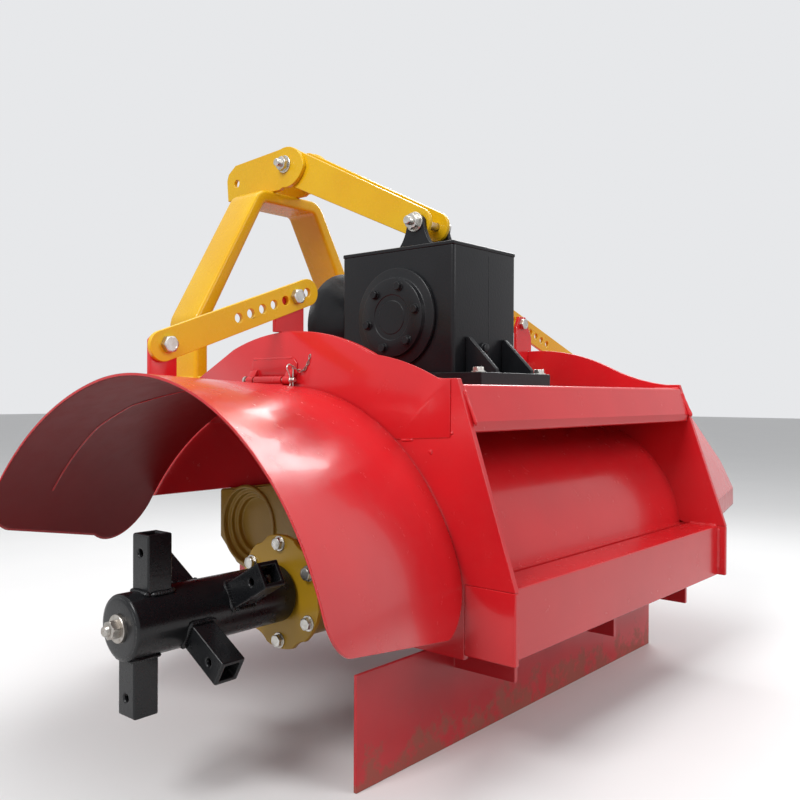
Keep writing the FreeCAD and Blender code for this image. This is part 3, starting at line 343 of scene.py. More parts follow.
def rounded(corners, radii, steps=5):
    """A closed outline whose corner i is an arc of its radius, tangent to both sides: centre plus radius
    times a direction turned evenly from one tangent point to the other."""
    at = np.asarray(corners, float)
    size = np.broadcast_to(np.asarray(radii, float), len(at))[:, None]
    back = np.roll(at, 1, axis=0) - at
    ahead = np.roll(at, -1, axis=0) - at
    back /= np.linalg.norm(back, axis=1, keepdims=True)
    ahead /= np.linalg.norm(ahead, axis=1, keepdims=True)
    half = np.arccos(np.clip((back * ahead).sum(1, keepdims=True), -0.99999, 0.99999)) / 2
    inward = (back + ahead) / np.linalg.norm(back + ahead, axis=1, keepdims=True)
    centre = at + inward * size / np.sin(half)
    first = at + back * size / np.tan(half) - centre
    last = at + ahead * size / np.tan(half) - centre
    sweep = (np.pi - 2 * half)[:, None]
    share = np.linspace(0, 1, steps)[None, :, None]
    turned_to = np.sin((1 - share) * sweep) * first[:, None] + np.sin(share * sweep) * last[:, None]
    return (centre[:, None] + turned_to / np.sin(sweep)).reshape(-1, 2)


def placed(flat, plane, level):
    """Points across and up, laid on a plane at a level: xz at a y, yz at an x, or xy at a z."""
    order = {"xz": (0, 2, 1), "yz": (1, 2, 0), "xy": (0, 1, 2)}[plane]
    out = np.empty(np.broadcast_shapes(flat.shape[:-1], np.shape(level)) + (3,))
    out[..., order[0]] = flat[..., 0]
    out[..., order[1]] = flat[..., 1]
    out[..., order[2]] = level
    return out


def slab(outline, plane, start, wall, edge=0.001, steps=3):
    """Rings of a flat plate: its outline, drawn in along its own normals by a quarter circle at both faces."""
    forward = np.roll(outline, -1, axis=0) - np.roll(outline, 1, axis=0)
    normal = np.stack([-forward[:, 1], forward[:, 0]], 1)
    normal /= np.linalg.norm(normal, axis=1, keepdims=True) + 1e-12
    after = np.roll(outline, -1, axis=0)
    area = np.sum(outline[:, 0] * after[:, 1] - after[:, 0] * outline[:, 1])
    normal *= np.sign(area)
    turn_round = np.linspace(0, np.pi / 2, steps)
    drawn_in = edge * (1 - np.sin(turn_round))
    depth = edge * (1 - np.cos(turn_round))
    drawn_in = np.concatenate([drawn_in, drawn_in[::-1]])
    depth = np.concatenate([depth, wall - depth[::-1]])
    flat = outline[None] + normal[None] * drawn_in[:, None, None]
    return placed(flat, plane, (start + depth)[:, None])


def bead(path, up, size, ripple=0.16, pitch=0.0042, lift=0.4):
    """Rings of a weld bead along a path: a round of the bead's size whose radius swells with each drop of
    weld metal, a wave along the path's length. up is the way the bead stands out of its joint."""
    path = np.asarray(path, float)
    step = np.linalg.norm(np.diff(path, axis=0), axis=1)
    along = np.concatenate([[0], np.cumsum(step)])
    even = np.linspace(0, along[-1], max(8, int(along[-1] / (pitch / 4))))
    line = np.stack([np.interp(even, along, path[:, k]) for k in range(3)], 1)
    ahead = np.gradient(line, axis=0)
    ahead /= np.linalg.norm(ahead, axis=1, keepdims=True)
    side = np.cross(ahead, np.broadcast_to(np.asarray(up, float), line.shape))
    side /= np.linalg.norm(side, axis=1, keepdims=True)
    out = np.cross(side, ahead)
    wander = np.sin(even * 211.0) * 0.06 + np.sin(even * 97.0 + 1.0) * 0.07
    swell = 1 + ripple * np.abs(np.sin(np.pi * even / pitch)) + wander
    taper = np.sqrt(np.clip(np.minimum(even, even[-1] - even) / size, 0.05, 1))
    radius = (size * swell * taper)[:, None, None]
    round_it = np.linspace(0, 2 * np.pi, 9)[:-1][None, :, None]
    return (line[:, None] + radius * (np.cos(round_it) * side[:, None]
                                      + (np.sin(round_it) * 0.7 + lift * 0.5) * out[:, None]))


def blobs(places, outward, size):
    """Rings of tack welds: each a dome, rings of a shrinking radius at a rising height."""
    rise = np.linspace(0, np.pi / 2, 5)
    ring = np.linspace(0, 2 * np.pi, 11)[:-1]
    outward = np.asarray(outward, float)
    first = np.cross(outward, (0.3, 0.5, 0.81))
    first /= np.linalg.norm(first)
    second = np.cross(outward, first)
    flat = np.cos(ring)[:, None] * first + np.sin(ring)[:, None] * second
    dome = size * (np.cos(rise)[:, None, None] * flat[None] * (1 + 0.16 * np.sin(3 * ring + 1))[None, :, None]
                   + (np.sin(rise)[:, None, None] * 0.45 - 0.1) * outward)
    return [dome + np.asarray(spot, float) for spot in places]


left_low, left_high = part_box("side_plate_left")
face_y = left_low.y
for node in ("side_plate_left", "side_plate_right"):
    softened(node, red_worn, 0.0018)


def bent(first, last, radius, steps=16):
    """Points of an arc from one place to another, the last left out: its middle stands off the straight
    line, to the left for a positive radius and to the right for a negative one."""
    first, last = np.asarray(first, float), np.asarray(last, float)
    run = last - first
    half = np.linalg.norm(run) / 2
    left = np.array([-run[1], run[0]]) / (2 * half) * np.sign(radius)
    centre = (first + last) / 2 - left * np.sqrt(radius ** 2 - half ** 2)
    opening = np.arcsin(half / abs(radius))
    swing = np.linspace(-opening, opening, steps + 1)[:-1, None]
    return centre + abs(radius) * (np.cos(swing) * left + np.sin(swing) * run / (2 * half))


hump_back, hump_middle, hump_front = (0.5087, 0.8063), (0.3137, 0.8652), (-0.1713, 0.8872)
outline = np.concatenate([
    [(-0.300, 0.8245), (-0.300, 0.700), (0.390, 0.6788), (0.5339, 0.6869), (0.5345, 0.8063)],
    bent(hump_back, hump_middle, -0.580), bent(hump_middle, hump_front, -0.637, 30), [hump_front]])
red("hump_sheet", [slab(outline, "xz", face_y - 0.0026, 0.0030, 0.0008)])
spots = [(0.520, 0.7475), (0.528, 0.728), (0.482, 0.655), (0.392, 0.744), (0.340, 0.684), (0.10, 0.688)]
tacks = blobs([(x, face_y - 0.0005, z) for x, z in spots], (0, -1, 0), 0.0058)
for start, end in (((0.5375, 0.692), (0.5375, 0.700)), ((0.40, 0.677), (0.435, 0.679))):
    tacks.append(bead([(start[0], face_y, start[1]), (end[0], face_y, end[1])], (0, -1, 0), 0.003))
red("plate_tacks", tacks)


# ---- deck, beams and hood --------------------------------------------------------------------
# The sheets and folded beams between the side plates, all welded in and painted red: the deck, the
# channel at its rear edge, the half-round hood over the rotor and the box beam under it.

rotor_x, rotor_z = 0.2117, 0.351
inner_left, inner_right = left_high.y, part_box("side_plate_right")[0].y
for node in ("deck_plate", "rear_lower_beam"):
    softened(node, red_paint, 0.003)
softened("rear_upper_beam", red_paint, 0.006, 4)

hood_radius, hood_wall = 0.345, 0.005
lip_x, lip_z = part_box("rear_lower_beam")[0].x, 0.389
low_angle = np.arcsin((lip_z - rotor_z) / hood_radius)
swing = np.linspace(low_angle, np.pi - low_angle, 97)
arc = np.stack([np.cos(swing), np.sin(swing)], 1)
lip = [(lip_x - 0.0006, lip_z - hood_wall), (lip_x - 0.0006, lip_z)]
inside = arc[::-1] * (hood_radius - hood_wall) + (rotor_x, rotor_z)
inside[-1] = (inside[-1, 0], lip_z - hood_wall)
section = np.concatenate([lip, arc * hood_radius + (rotor_x, rotor_z), inside])
across = np.linspace(inner_left, inner_right, 3)
red("hood_sheet", [placed(section[None], "xz", across[:, None])], ["rotor_hood"], strip=True, crease=50)

beam_top, box_top = 0.7965, 0.3895
seams = []
for y, way, start, end in ((inner_left, 0.7, 0.5000, 0.5380), (inner_right, -0.7, 0.4700, 0.5500)):
    seams += [bead([(start, y, beam_top), (end, y, beam_top)], (0, way, 0.7), 0.004),
              bead([(0.5560, y, 0.785), (0.5890, y, 0.712)], (0.7, way, 0), 0.0055),
              bead([(0.583, y, box_top), (0.668, y, box_top)], (0, way, 0.7), 0.0045),
              bead([(0.672, y, 0.384), (0.672, y, 0.262)], (0.7, way, 0), 0.0045)]
red("beam_seams", seams)


# ---- right cover -----------------------------------------------------------------------------
# A folded sheet over the shaft's right end, open below and at its outer edge, with a lug for the right
# stay. The shaft's bearing sits under it in a cast block.

softened("right_cover", red_paint, 0.004, 3)


def turned(profile, places, axis, around=40, flats=None):
    """Rings of turned parts, one at each place: ring k stands profile[k][0] along the axis at a radius
    of profile[k][1]. Where flats is given, a ring whose flats value is above 0 is cut to a hexagon: its
    radius is no more than flats over the cosine of the angle from the middle of the nearest side."""
    profile = np.asarray(profile, float)
    axis = np.asarray(axis, float) / np.linalg.norm(axis)
    first = np.cross(axis, (0.21, 0.43, 0.88))
    first /= np.linalg.norm(first)
    second = np.cross(axis, first)
    angle = np.arange(around) * 2 * np.pi / around
    radius = np.repeat(profile[:, 1:2], around, axis=1)
    if flats is not None:
        limit = np.asarray(flats, float)[:, None]
        side = limit / np.cos((angle + np.pi / 6) % (np.pi / 3) - np.pi / 6)[None]
        radius = np.where(limit > 0, np.minimum(radius, side), radius)
    out = np.cos(angle)[:, None] * first + np.sin(angle)[:, None] * second
    ring = radius[..., None] * out[None] + profile[:, 0, None, None] * axis
    return [ring + np.asarray(spot, float) for spot in places]


def bolt(places, axis, size, washer=True, stub=0.0):
    """Rings of hex bolts of a thread size seen from the head: a washer, a six-sided head with its
    corners turned off, and, where stub is set, the nut's threaded end standing out of it."""
    flat, head = size * 0.85, size * 0.66
    thick = size * 0.18 if washer else 0.0
    rings = []
    if washer:
        rings += [(-0.001, size * 1.15, 0), (thick * 0.8, size * 1.15, 0), (thick, size * 1.10, 0)]
    rings += [(thick, flat * 1.14, flat), (thick + head * 0.8, flat * 1.14, flat),
              (thick + head * 0.93, flat * 1.06, flat), (thick + head, flat * 0.95, flat)]
    if stub:
        rings += [(thick + head, size * 0.52, 0)]
        rise = np.arange(0.0, stub, size * 0.085)
        deep = np.where(np.arange(len(rise)) % 2, 0.47, 0.50)
        rings += [(thick + head + a, size * b, 0) for a, b in zip(rise, deep)]
        rings += [(thick + head + stub, size * 0.42, 0)]
    else:
        rings += [(thick + head, flat * 0.80, 0), (thick + head * 0.96, flat * 0.78, 0)]
    rings = np.array(rings)
    return turned(rings[:, :2], places, axis, 36, rings[:, 2])


metal_group, given, put = new_group(
    "plated_steel",
    [("Metal Tone", "Color"), ("Tarnish", "Color"), ("Rust", "Float"), ("Polish Roughness", "Float")])
tree = metal_group
place = add(tree, "TexCoord").outputs["Object"]
cloud = stretch(tree, grained(tree, 55, 5, 0.65, place), 0.35, 0.70)
colour = blended(tree, cloud, given["Metal Tone"], given["Tarnish"])
spots_here = stretch(tree, grained(tree, 130, 6, 0.75, place), 0.56, 0.68)
rusted = sums(tree, "MULTIPLY", spots_here, given["Rust"], clamp=True)
colour = blended(tree, rusted, colour, (0.17, 0.075, 0.03, 1))
fine = grained(tree, 900, 2, 0.5, place)
tree.links.new(colour, put["Color"])
rough = sums(tree, "MULTIPLY_ADD", cloud, 0.14, given["Polish Roughness"])
tree.links.new(sums(tree, "MULTIPLY_ADD", rusted, 0.4, rough), put["Roughness"])
tree.links.new(sums(tree, "SUBTRACT", 1.0, sums(tree, "MULTIPLY", rusted, 0.85)), put["Metal"])
tree.links.new(sums(tree, "MULTIPLY_ADD", rusted, 1.5, fine), put["Height"])


def plated(name, tone, tarnish, rust=0.25, rough=0.26, bump=0.00003):
    """Bare or zinc-plated steel with its cloudy tarnish and a few rust spots."""
    return finish(name, metal_group, {"Metal Tone": tone, "Tarnish": tarnish, "Rust": rust,
                                      "Polish Roughness": rough}, bump)


zinc = plated("zinc_plate", (0.66, 0.65, 0.62, 1), (0.44, 0.42, 0.38, 1), 0.15)
bare_steel = plated("bare_steel", (0.46, 0.44, 0.41, 1), (0.30, 0.27, 0.24, 1), 0.5, 0.32)


def steel(name, blocks, nodes=(), material=zinc, **how):
    """A zinc-plated or bare steel piece of the frame, made from blocks of rings."""
    return settled(skin(name, blocks, **how), "frame", "bare_steel", material, nodes)


right_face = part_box("side_plate_right")[1].y
block = [(0, 0.080), (0.012, 0.080), (0.014, 0.078), (0.014, 0.064), (0.018, 0.060), (0.036, 0.057),
         (0.040, 0.054), (0.042, 0.048), (0.042, 0.031), (0.0, 0.031)]
bearing = turned(block, [(rotor_x, right_face, rotor_z)], (0, 1, 0), 96)
settled(skin("right_bearing_block", bearing, looped=True), "frame", slot_of["right_bearing"], red_paint,
        ["right_bearing"])


def circle(x, y, z, radius, count, first):
    """Places evenly round a circle that faces along y, from a first angle in degrees."""
    angle = np.radians(np.arange(count) * 360 / count + first)
    return [(x + radius * np.cos(a), y, z + radius * np.sin(a)) for a in angle]


steel("right_bolts", bolt(circle(rotor_x, right_face + 0.014, rotor_z, 0.0705, 4, 45), (0, 1, 0), 0.010))


# ---- fender ----------------------------------------------------------------------------------
# A rolled sheet over the impeller, 5 mm thick, trimmed to a round-cornered skirt at both ends. A hinge
# joins its inner edge to the side plate, and the left stay bolts it fast by the lug on its crown.

rim_y, inner_y = face_y - 0.552, face_y - 0.006
crown, front_reach, turn_angle = 0.532, 0.834, np.radians(103)
shear_x, shear_z = -0.172, -0.018


def edge_height(y, first, second, third, last, outer_radius, inner_radius):
    """Height of the fender's lower edge over y: an arc of one radius from the rim, a straight run, and an
    arc of another radius up to the inner end, each arc bulging down and out."""
    fine_y, fine_z = np.concatenate([bent(first, second, -outer_radius, 40), bent(second, third, 1e3, 8),
                                     bent(third, last, -inner_radius, 40), [last]]).T
    order = np.argsort(fine_y)
    return np.interp(y, fine_y[order], fine_z[order])


def fender_surface(t, s, wall):
    """A place on the fender for t from the back edge over the crown to the front edge and s from the rim to
    the inner end. The section is a circle of the crown's radius up to the turn angle, then a larger circle
    tangent to it, both less the wall; sections slide forward and down in proportion to s."""
    y = rim_y + (inner_y - rim_y) * s
    centre_x = rotor_x + 0.016 + shear_x * s
    centre_z = rotor_z - 0.071 + shear_z * s
    back_z = edge_height(y, (rim_y, 0.456), (rim_y + 0.048, 0.389), (face_y - 0.113, 0.309),
                         (inner_y, 0.420), 0.075, 0.125)
    front_z = edge_height(y, (rim_y, 0.544), (rim_y + 0.075, 0.454), (face_y - 0.180, 0.391),
                          (inner_y, 0.479), 0.130, 0.110)
    far_x = centre_x - np.cos(turn_angle) * (front_reach - crown)
    far_z = centre_z - np.sin(turn_angle) * (front_reach - crown)
    start = np.arcsin((back_z - centre_z) / crown)
    end = np.pi - np.arcsin((front_z - far_z) / front_reach)
    angle = start + (end - start) * t
    ahead = angle > turn_angle
    reach = np.where(ahead, front_reach, crown) - wall
    return np.stack([np.where(ahead, far_x, centre_x) + reach * np.cos(angle), y,
                     np.where(ahead, far_z, centre_z) + reach * np.sin(angle)], -1)


def fender_layer(t, s, outer, inner):
    """Rings of the fender's sheet between two depths: out along one face and back along the other."""
    return np.concatenate([fender_surface(t, s, outer), fender_surface(t, s, inner)[:, ::-1]], axis=1)


t = np.linspace(0, 1, 141)[:, None]
s = ((1 - np.cos(np.linspace(0, np.pi, 61))) / 2)[None, :]
t, s = np.broadcast_arrays(t, s)
# the underside is out of the light, so a film just over it carries painted shade: a darker red than the paint,
# dull, with a little dust
film = fender_layer(0.004 + t * 0.992, 0.004 + s * 0.992, 0.0048, 0.0055)
painted_shade_red = painted("red_painted_shade", (0.30, 0.007, 0.010, 1), (0.24, 0.006, 0.008, 1), wear=0.0, dust=0.04,
                     mud=0.12, rough=0.42, coat=0.0, shine=0.16)
settled(skin("fender_painted_shade_film", [film], strip=True), "frame", "red_paint", painted_shade_red, crease=50)
pin_at = (np.array(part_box("fender_hinge_pin")[0]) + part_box("fender_hinge_pin")[1]) / 2
pin_x, pin_y, pin_z = pin_at
red("fender_sheet", [fender_layer(t, s, 0.0, 0.005)], ["fender"], strip=True, edge=0.0014, crease=50)

knuckle = [(-0.050, 0.0062), (-0.050, 0.0094), (-0.0494, 0.010), (-0.017, 0.010), (-0.0166, 0.0096),
           (-0.0162, 0.010), (0.0494, 0.010), (0.050, 0.0094), (0.050, 0.0062)]
red("fender_knuckle", turned(knuckle, [pin_at], (1, 0, 0), 40), looped=True)
web = np.array([(-0.004, -0.026), (0.004, -0.026), (0.004, -0.008), (-0.004, -0.008)]) + (pin_y, pin_z)
red("fender_hinge_foot", [
    slab(rounded(web, 0.001, 3), "yz", pin_x - 0.050, 0.100, 0.0012),
    bead(pin_at + [(-0.050, -0.006, -0.019), (0.050, -0.006, -0.0185)], (0, -0.8, 0.6), 0.004)])
share, knots = np.linspace(0, 1, 60), [0, 0.55, 0.68, 1]
crease = fender_surface(np.interp(share, knots, [0.93, 0.80, 0.74, 0.60]),
                        np.interp(share, knots, [0.30, 0.31, 0.36, 0.70]), 0.0052)
stay_x, stay_wall, stay_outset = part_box("stay_bar_left")[0].x, 0.012, 0.322
lug_y = face_y - stay_outset
lug = rounded([(lug_y + 0.030, 0.778), (lug_y + 0.030, 0.892), (lug_y + 0.018, 0.908),
               (lug_y - 0.024, 0.906), (lug_y - 0.038, 0.892), (lug_y - 0.038, 0.775)],
              [0.001, 0.008, 0.008, 0.008, 0.008, 0.001], 4)
lug_parts = [slab(lug, "yz", stay_x - stay_wall, stay_wall, 0.0012)]
for x, way in ((0.0005, 0.7), (-0.0125, -0.7)):
    lug_parts.append(bead([(stay_x + x, lug_y + 0.030, 0.7825 + x * 0.28),
                           (stay_x + x, lug_y - 0.038, 0.7795 + x * 0.28)], (way, 0, 0.7), 0.004))
red("fender_stay_lug", lug_parts)
red("fender_seam", [bead(crease, (0, 0, -1), 0.0024)])


# ---- fender hinge ----------------------------------------------------------------------------
# Two rolled lugs welded to a strap on the left plate, with a long pin pushed through them and through
# the fender's knuckle. A spring clip holds the pin and hangs from a short chain.

lug = [(0, 0.0062), (0, 0.0094), (0.0006, 0.010), (0.0234, 0.010), (0.024, 0.0094), (0.024, 0.0062)]
lug_starts = (pin_x - 0.080, pin_x + 0.056)
red("hinge_lug_barrels", turned(lug, [(x, pin_y, pin_z) for x in lug_starts], (1, 0, 0), 40), looped=True)
strap = np.array([(-0.080, 0.010), (0.080, 0.010), (0.080, 0.040), (0.066, 0.052), (-0.070, 0.052),
                  (-0.080, 0.046)]) + (pin_x, pin_z)
strap = rounded(strap, [0.002, 0.002, 0.003, 0.003, 0.003, 0.003], 3)
parts = [slab(strap, "xz", face_y - 0.0065, 0.0065, 0.001)]
root = rounded([(pin_y - 0.002, pin_z + 0.008), (face_y, pin_z + 0.008), (face_y, pin_z + 0.030),
                (pin_y + 0.006, pin_z + 0.024)], 0.001, 3)
for start in lug_starts:
    parts.append(slab(root, "yz", start, 0.024, 0.001))
strap_edge = np.array([pin_x, face_y - 0.004, pin_z])
parts += [bead(strap_edge + [(-0.078, 0, 0.053), (0.066, 0, 0.0535)], (0, -0.8, 0.6), 0.0032),
          bead(strap_edge + [(0.067, 0, 0.053), (0.081, 0, 0.040), (0.081, 0, 0.012)],
               (0.4, -0.9, 0), 0.0028)]
red("hinge_strap", parts, ["fender_hinge_lugs"])

pin = [(-0.092, 0.0), (-0.092, 0.0098), (-0.0912, 0.0106), (-0.0868, 0.0106), (-0.086, 0.0098),
       (-0.086, 0.0060), (0.0900, 0.0060), (0.092, 0.0046), (0.092, 0.0)]
steel("hinge_pin", turned(pin, [pin_at], (1, 0, 0), 32), ["fender_hinge_pin"])


def wire(path, radius, around=10):
    """Rings of round wire: a circle of its radius carried square to a path of close points."""
    line = np.asarray(path, float)
    ahead = np.gradient(line, axis=0)
    ahead /= np.linalg.norm(ahead, axis=1, keepdims=True)
    side = np.cross(ahead, (0.13, 0.31, 0.94))
    side /= np.linalg.norm(side, axis=1, keepdims=True)
    out = np.cross(side, ahead)
    angle = np.arange(around) * 2 * np.pi / around
    round_it = np.cos(angle)[:, None] * side[:, None] + np.sin(angle)[:, None] * out[:, None]
    return line[:, None] + radius * round_it


def smooth_path(points, count):
    """Close points on a line through given ones, by a cubic between each pair whose slopes come from the
    neighbours (Catmull and Rom's rule)."""
    points = np.asarray(points, float)
    held = np.concatenate([2 * points[:1] - points[1:2], points, 2 * points[-1:] - points[-2:-1]])
    place = np.linspace(0, len(points) - 1 - 1e-9, count)
    cell = place.astype(int)
    u = (place - cell)[:, None]
    a, b, c, d = (held[cell + k] for k in range(4))
    return 0.5 * (2 * b + (c - a) * u + (2 * a - 5 * b + 4 * c - d) * u ** 2
                  + (3 * b - a - 3 * c + d) * u ** 3)


clip_at = pin_at + (0.087, -0.001, 0)
clip = smooth_path(clip_at + [
    (0, -0.0005, -0.020), (0, -0.001, 0.004), (0.001, -0.001, 0.022), (0.001, -0.006, 0.034),
    (0, -0.015, 0.036), (0, -0.020, 0.028), (0, -0.014, 0.016), (0, -0.0105, 0.006),
    (0, -0.0125, -0.002), (0, -0.009, -0.009), (0, -0.013, -0.020)], 110)
steel("hinge_clip", [wire(clip, 0.0018)])

plate_at = np.array([clip_at[0], face_y, pin_z])
fall = smooth_path(np.concatenate([
    [clip_at + (0.001, -0.012, 0.036)],
    plate_at + [(0.010, -0.010, 0.022), (0.022, -0.006, 0.024), (0.034, -0.004, 0.040),
                (0.040, -0.003, 0.058)]]), 200)
run = np.concatenate([[0], np.cumsum(np.linalg.norm(np.diff(fall, axis=0), axis=1))])
pitch, half_length, half_width = 0.0082, 0.0056, 0.0032
links = []
oval = np.linspace(0, 2 * np.pi, 21)[:-1]
for count, station in enumerate(np.arange(pitch / 2, run[-1], pitch)):
    centre, beyond = (np.array([np.interp(station + step, run, fall[:, k]) for k in range(3)])
                      for step in (0, 0.002))
    ahead = (beyond - centre) / np.linalg.norm(beyond - centre)
    side = np.cross(ahead, (0, 1, 0) if count % 2 else (0.2, 0, 1))
    side /= np.linalg.norm(side)
    middle_line = (centre + np.cos(oval)[:, None] * ahead * half_length
                   + np.sin(oval)[:, None] * side * half_width)
    links.append(wire(np.concatenate([middle_line, middle_line[:1]]), 0.0011, 6)[:-1])
steel("hinge_chain", links, material=bare_steel, looped=True)


# ---- tail board ------------------------------------------------------------------------------
# A plain steel blade that levels the soil behind the rotor, on three arms welded under the box beam.
# Its lower half is scuffed and splashed.

scuffed_red = painted("red_scuffed", (0.62, 0.022, 0.030, 1), (0.50, 0.016, 0.024, 1), wear=0.7,
                      dust=0.10, mud=0.12, rough=0.28, coat=0.1)
softened("tail_board", scuffed_red, 0.0018)


# ---- front beam and hitch --------------------------------------------------------------------
# The hollow headstock beam between the plates, with the lower link pins in their brackets and the
# parking leg in its square sleeve. The pins are bare turned steel with a groove and a collar.

softened("front_beam", red_paint, 0.006, 3)
for side in ("left", "right"):
    softened("hitch_bracket_" + side, red_paint, 0.002)
for side, way in (("left", -1), ("right", 1)):
    low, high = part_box("hitch_pin_" + side)
    spot = ((low.x + high.x) / 2, low.y if way < 0 else high.y, (low.z + high.z) / 2)
    long = high.y - low.y
    shape = [(0, 0), (0, 0.0100), (0.004, 0.0135), (0.0150, 0.0140), (0.0158, 0.0128), (0.0182, 0.0128),
             (0.0190, 0.0140), (0.0610, 0.0140), (0.0612, 0.0215), (0.0618, 0.0222), (0.0620, 0.0222),
             (0.0620, 0.0140), (long - 0.012, 0.0140), (long - 0.0115, 0.0140), (long - 0.001, 0.0140),
             (long, 0.0130), (long, 0)]
    steel("hitch_pin_%s_turned" % side, turned(shape, [spot], (0, -way, 0), 40), ["hitch_pin_" + side],
          bare_steel)
softened("stand_sleeve", red_paint, 0.0015)
softened("stand_leg", scuffed_red, 0.002)


# ---- mast and link bars ----------------------------------------------------------------------
# A bent box frame in yellow, its corners well rounded, on welded feet. Two ears on top hold the top
# link's pin and the flat bars that run back to the gearbox lid.

yellow_paint = painted("yellow_gloss", (0.80, 0.505, 0.009, 1), (0.72, 0.40, 0.006, 1),
                       bare=(0.42, 0.34, 0.24, 1), wear=0.35, dust=0.02, mud=0.0, rough=0.25, coat=0.06,
                       shine=0.30)
mast_low, mast_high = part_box("mast")
mast_y = (mast_low.y + mast_high.y) / 2
foot_y, face = (mast_high.y - mast_low.y) / 2, 0.048
leg_y, top_y, half_face = foot_y - face / 2, 0.120, face / 2
middle_top = mast_high.z - 0.020
bend_z = 0.992
path = rounded([(-leg_y, mast_low.z - 0.1), (-leg_y, bend_z), (-top_y, middle_top),
                (top_y, middle_top), (leg_y, bend_z), (leg_y, mast_low.z - 0.1)],
               [0.002, 0.050, 0.042, 0.042, 0.050, 0.002], 9)
path = np.concatenate([[(path[9, 0], mast_low.z)], path[9:-9], [(path[-10, 0], mast_low.z)]])
ahead = np.gradient(path, axis=0)
ahead[0], ahead[-1] = (0, 1), (0, -1)
ahead /= np.linalg.norm(ahead, axis=1, keepdims=True)
beside = np.stack([ahead[:, 1], -ahead[:, 0]], 1)
deep = np.interp(path[:, 1], [bend_z + 0.10, middle_top - 0.06], [half_face, 0.020])[:, None]
long = mast_high.x - mast_low.x
band = rounded([(0, -half_face), (long, -half_face), (long, half_face), (0, half_face)], 0.012, 6)
rings = np.empty((len(path), len(band), 3))
rings[..., 0] = mast_low.x + band[None, :, 0]
rings[..., 1] = mast_y + path[:, :1] + beside[:, :1] * band[None, :, 1] * deep / half_face
rings[..., 2] = path[:, 1:] + beside[:, 1:] * band[None, :, 1] * deep / half_face
settled(skin("mast_frame", [rings]), "frame", "yellow_paint", yellow_paint, ["mast"], crease=50)
foot_seams = []
seam_z = mast_low.z + 0.001
for sign in (-1, 1):
    for y, way in ((foot_y, sign), (foot_y - face, -sign)):
        at = mast_y + sign * y
        foot_seams.append(bead([(mast_low.x + 0.010, at, seam_z), (mast_high.x - 0.010, at, seam_z)],
                               (0, way, 1), 0.004))
    at = mast_y + sign * leg_y
    foot_seams.append(bead([(mast_high.x, at - 0.016, seam_z), (mast_high.x, at + 0.016, seam_z)],
                           (1, 0, 1), 0.004))
settled(skin("mast_foot_seams", foot_seams), "frame", "yellow_paint", yellow_paint)
for node in ("mast_ear_left", "mast_ear_right", "link_bar_left", "link_bar_right"):
    softened(node, yellow_paint, 0.0022, 3)

ear_y, ears_width, link_bolt_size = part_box("mast_ear_left")[0].y, 0.120, 0.0238
hitch_y = ear_y + ears_width / 2
for node in ("link_bolt_front", "link_bolt_back"):
    low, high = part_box(node)
    x, z = (low.x + high.x) / 2, (low.z + high.z) / 2
    plain = turned([(0, 0), (0, link_bolt_size / 2), (ears_width, link_bolt_size / 2), (ears_width, 0)],
                   [(x, ear_y, z)], (0, 1, 0), 32)
    nut_end = bolt([(x, ear_y, z)], (0, -1, 0), link_bolt_size, stub=0.018)
    head = bolt([(x, ear_y + ears_width, z)], (0, 1, 0), link_bolt_size)
    steel(node + "_set", plain + nut_end + head, [node])


# ---- stays -----------------------------------------------------------------------------------
# Flat yellow bars across the machine with a row of spare holes, each bolted to a red lug inside a side
# plate and, lower down, to the lug on the fender or on the right cover.

stay_inset, high_z = 0.052, 1.019
for side, way, low_z in (("left", -1, 0.882), ("right", 1, 0.897)):
    softened("stay_bar_" + side, yellow_paint, 0.0018, 3)
    softened("stay_lug_" + side, red_paint, 0.002)
    plate_y = face_y if way < 0 else right_face
    high_y, low_y = plate_y - way * stay_inset, plate_y + way * stay_outset
    near, far = stay_x + stay_wall, stay_x - stay_wall
    heads = bolt([(near, high_y, high_z), (near, low_y, low_z)], (1, 0, 0), 0.020, washer=False)
    nuts = bolt([(far, high_y, high_z), (far, low_y, low_z)], (-1, 0, 0), 0.020, stub=0.008)
    steel("stay_bolts_" + side, heads + nuts)


# ---- gearbox ---------------------------------------------------------------------------------
# A cast-iron case in black paint with a flush lid and a round side cover, on a fabricated foot with two
# gussets. A stepped sheet cone guards the splined input shaft at the front.

black, grey_black = (0.0062, 0.0066, 0.0080, 1), (0.0105, 0.0112, 0.0130, 1)
black_look = dict(mud=0.0, peel=150, rough=0.30, coat=0.03, bump=0.00030, shine=0.24,
                  dust_colour=(0.12, 0.115, 0.11, 1))
black_paint = painted("black_casting", black, grey_black, bare=(0.10, 0.10, 0.10, 1), wear=0.35,
                      dust=0.03, **black_look)
case_low, case_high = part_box("gearbox_case")


def rounded_box(low, high, corner, edge, steps=8):
    """Rings of a block between two heights: a rectangle with round corners, drawn in by a quarter circle
    at the top and at the bottom."""
    plan = rounded([(low[0], low[1]), (high[0], low[1]), (high[0], high[1]), (low[0], high[1])],
                   corner, steps)
    return slab(plan, "xy", low[2], high[2] - low[2], edge, 5)


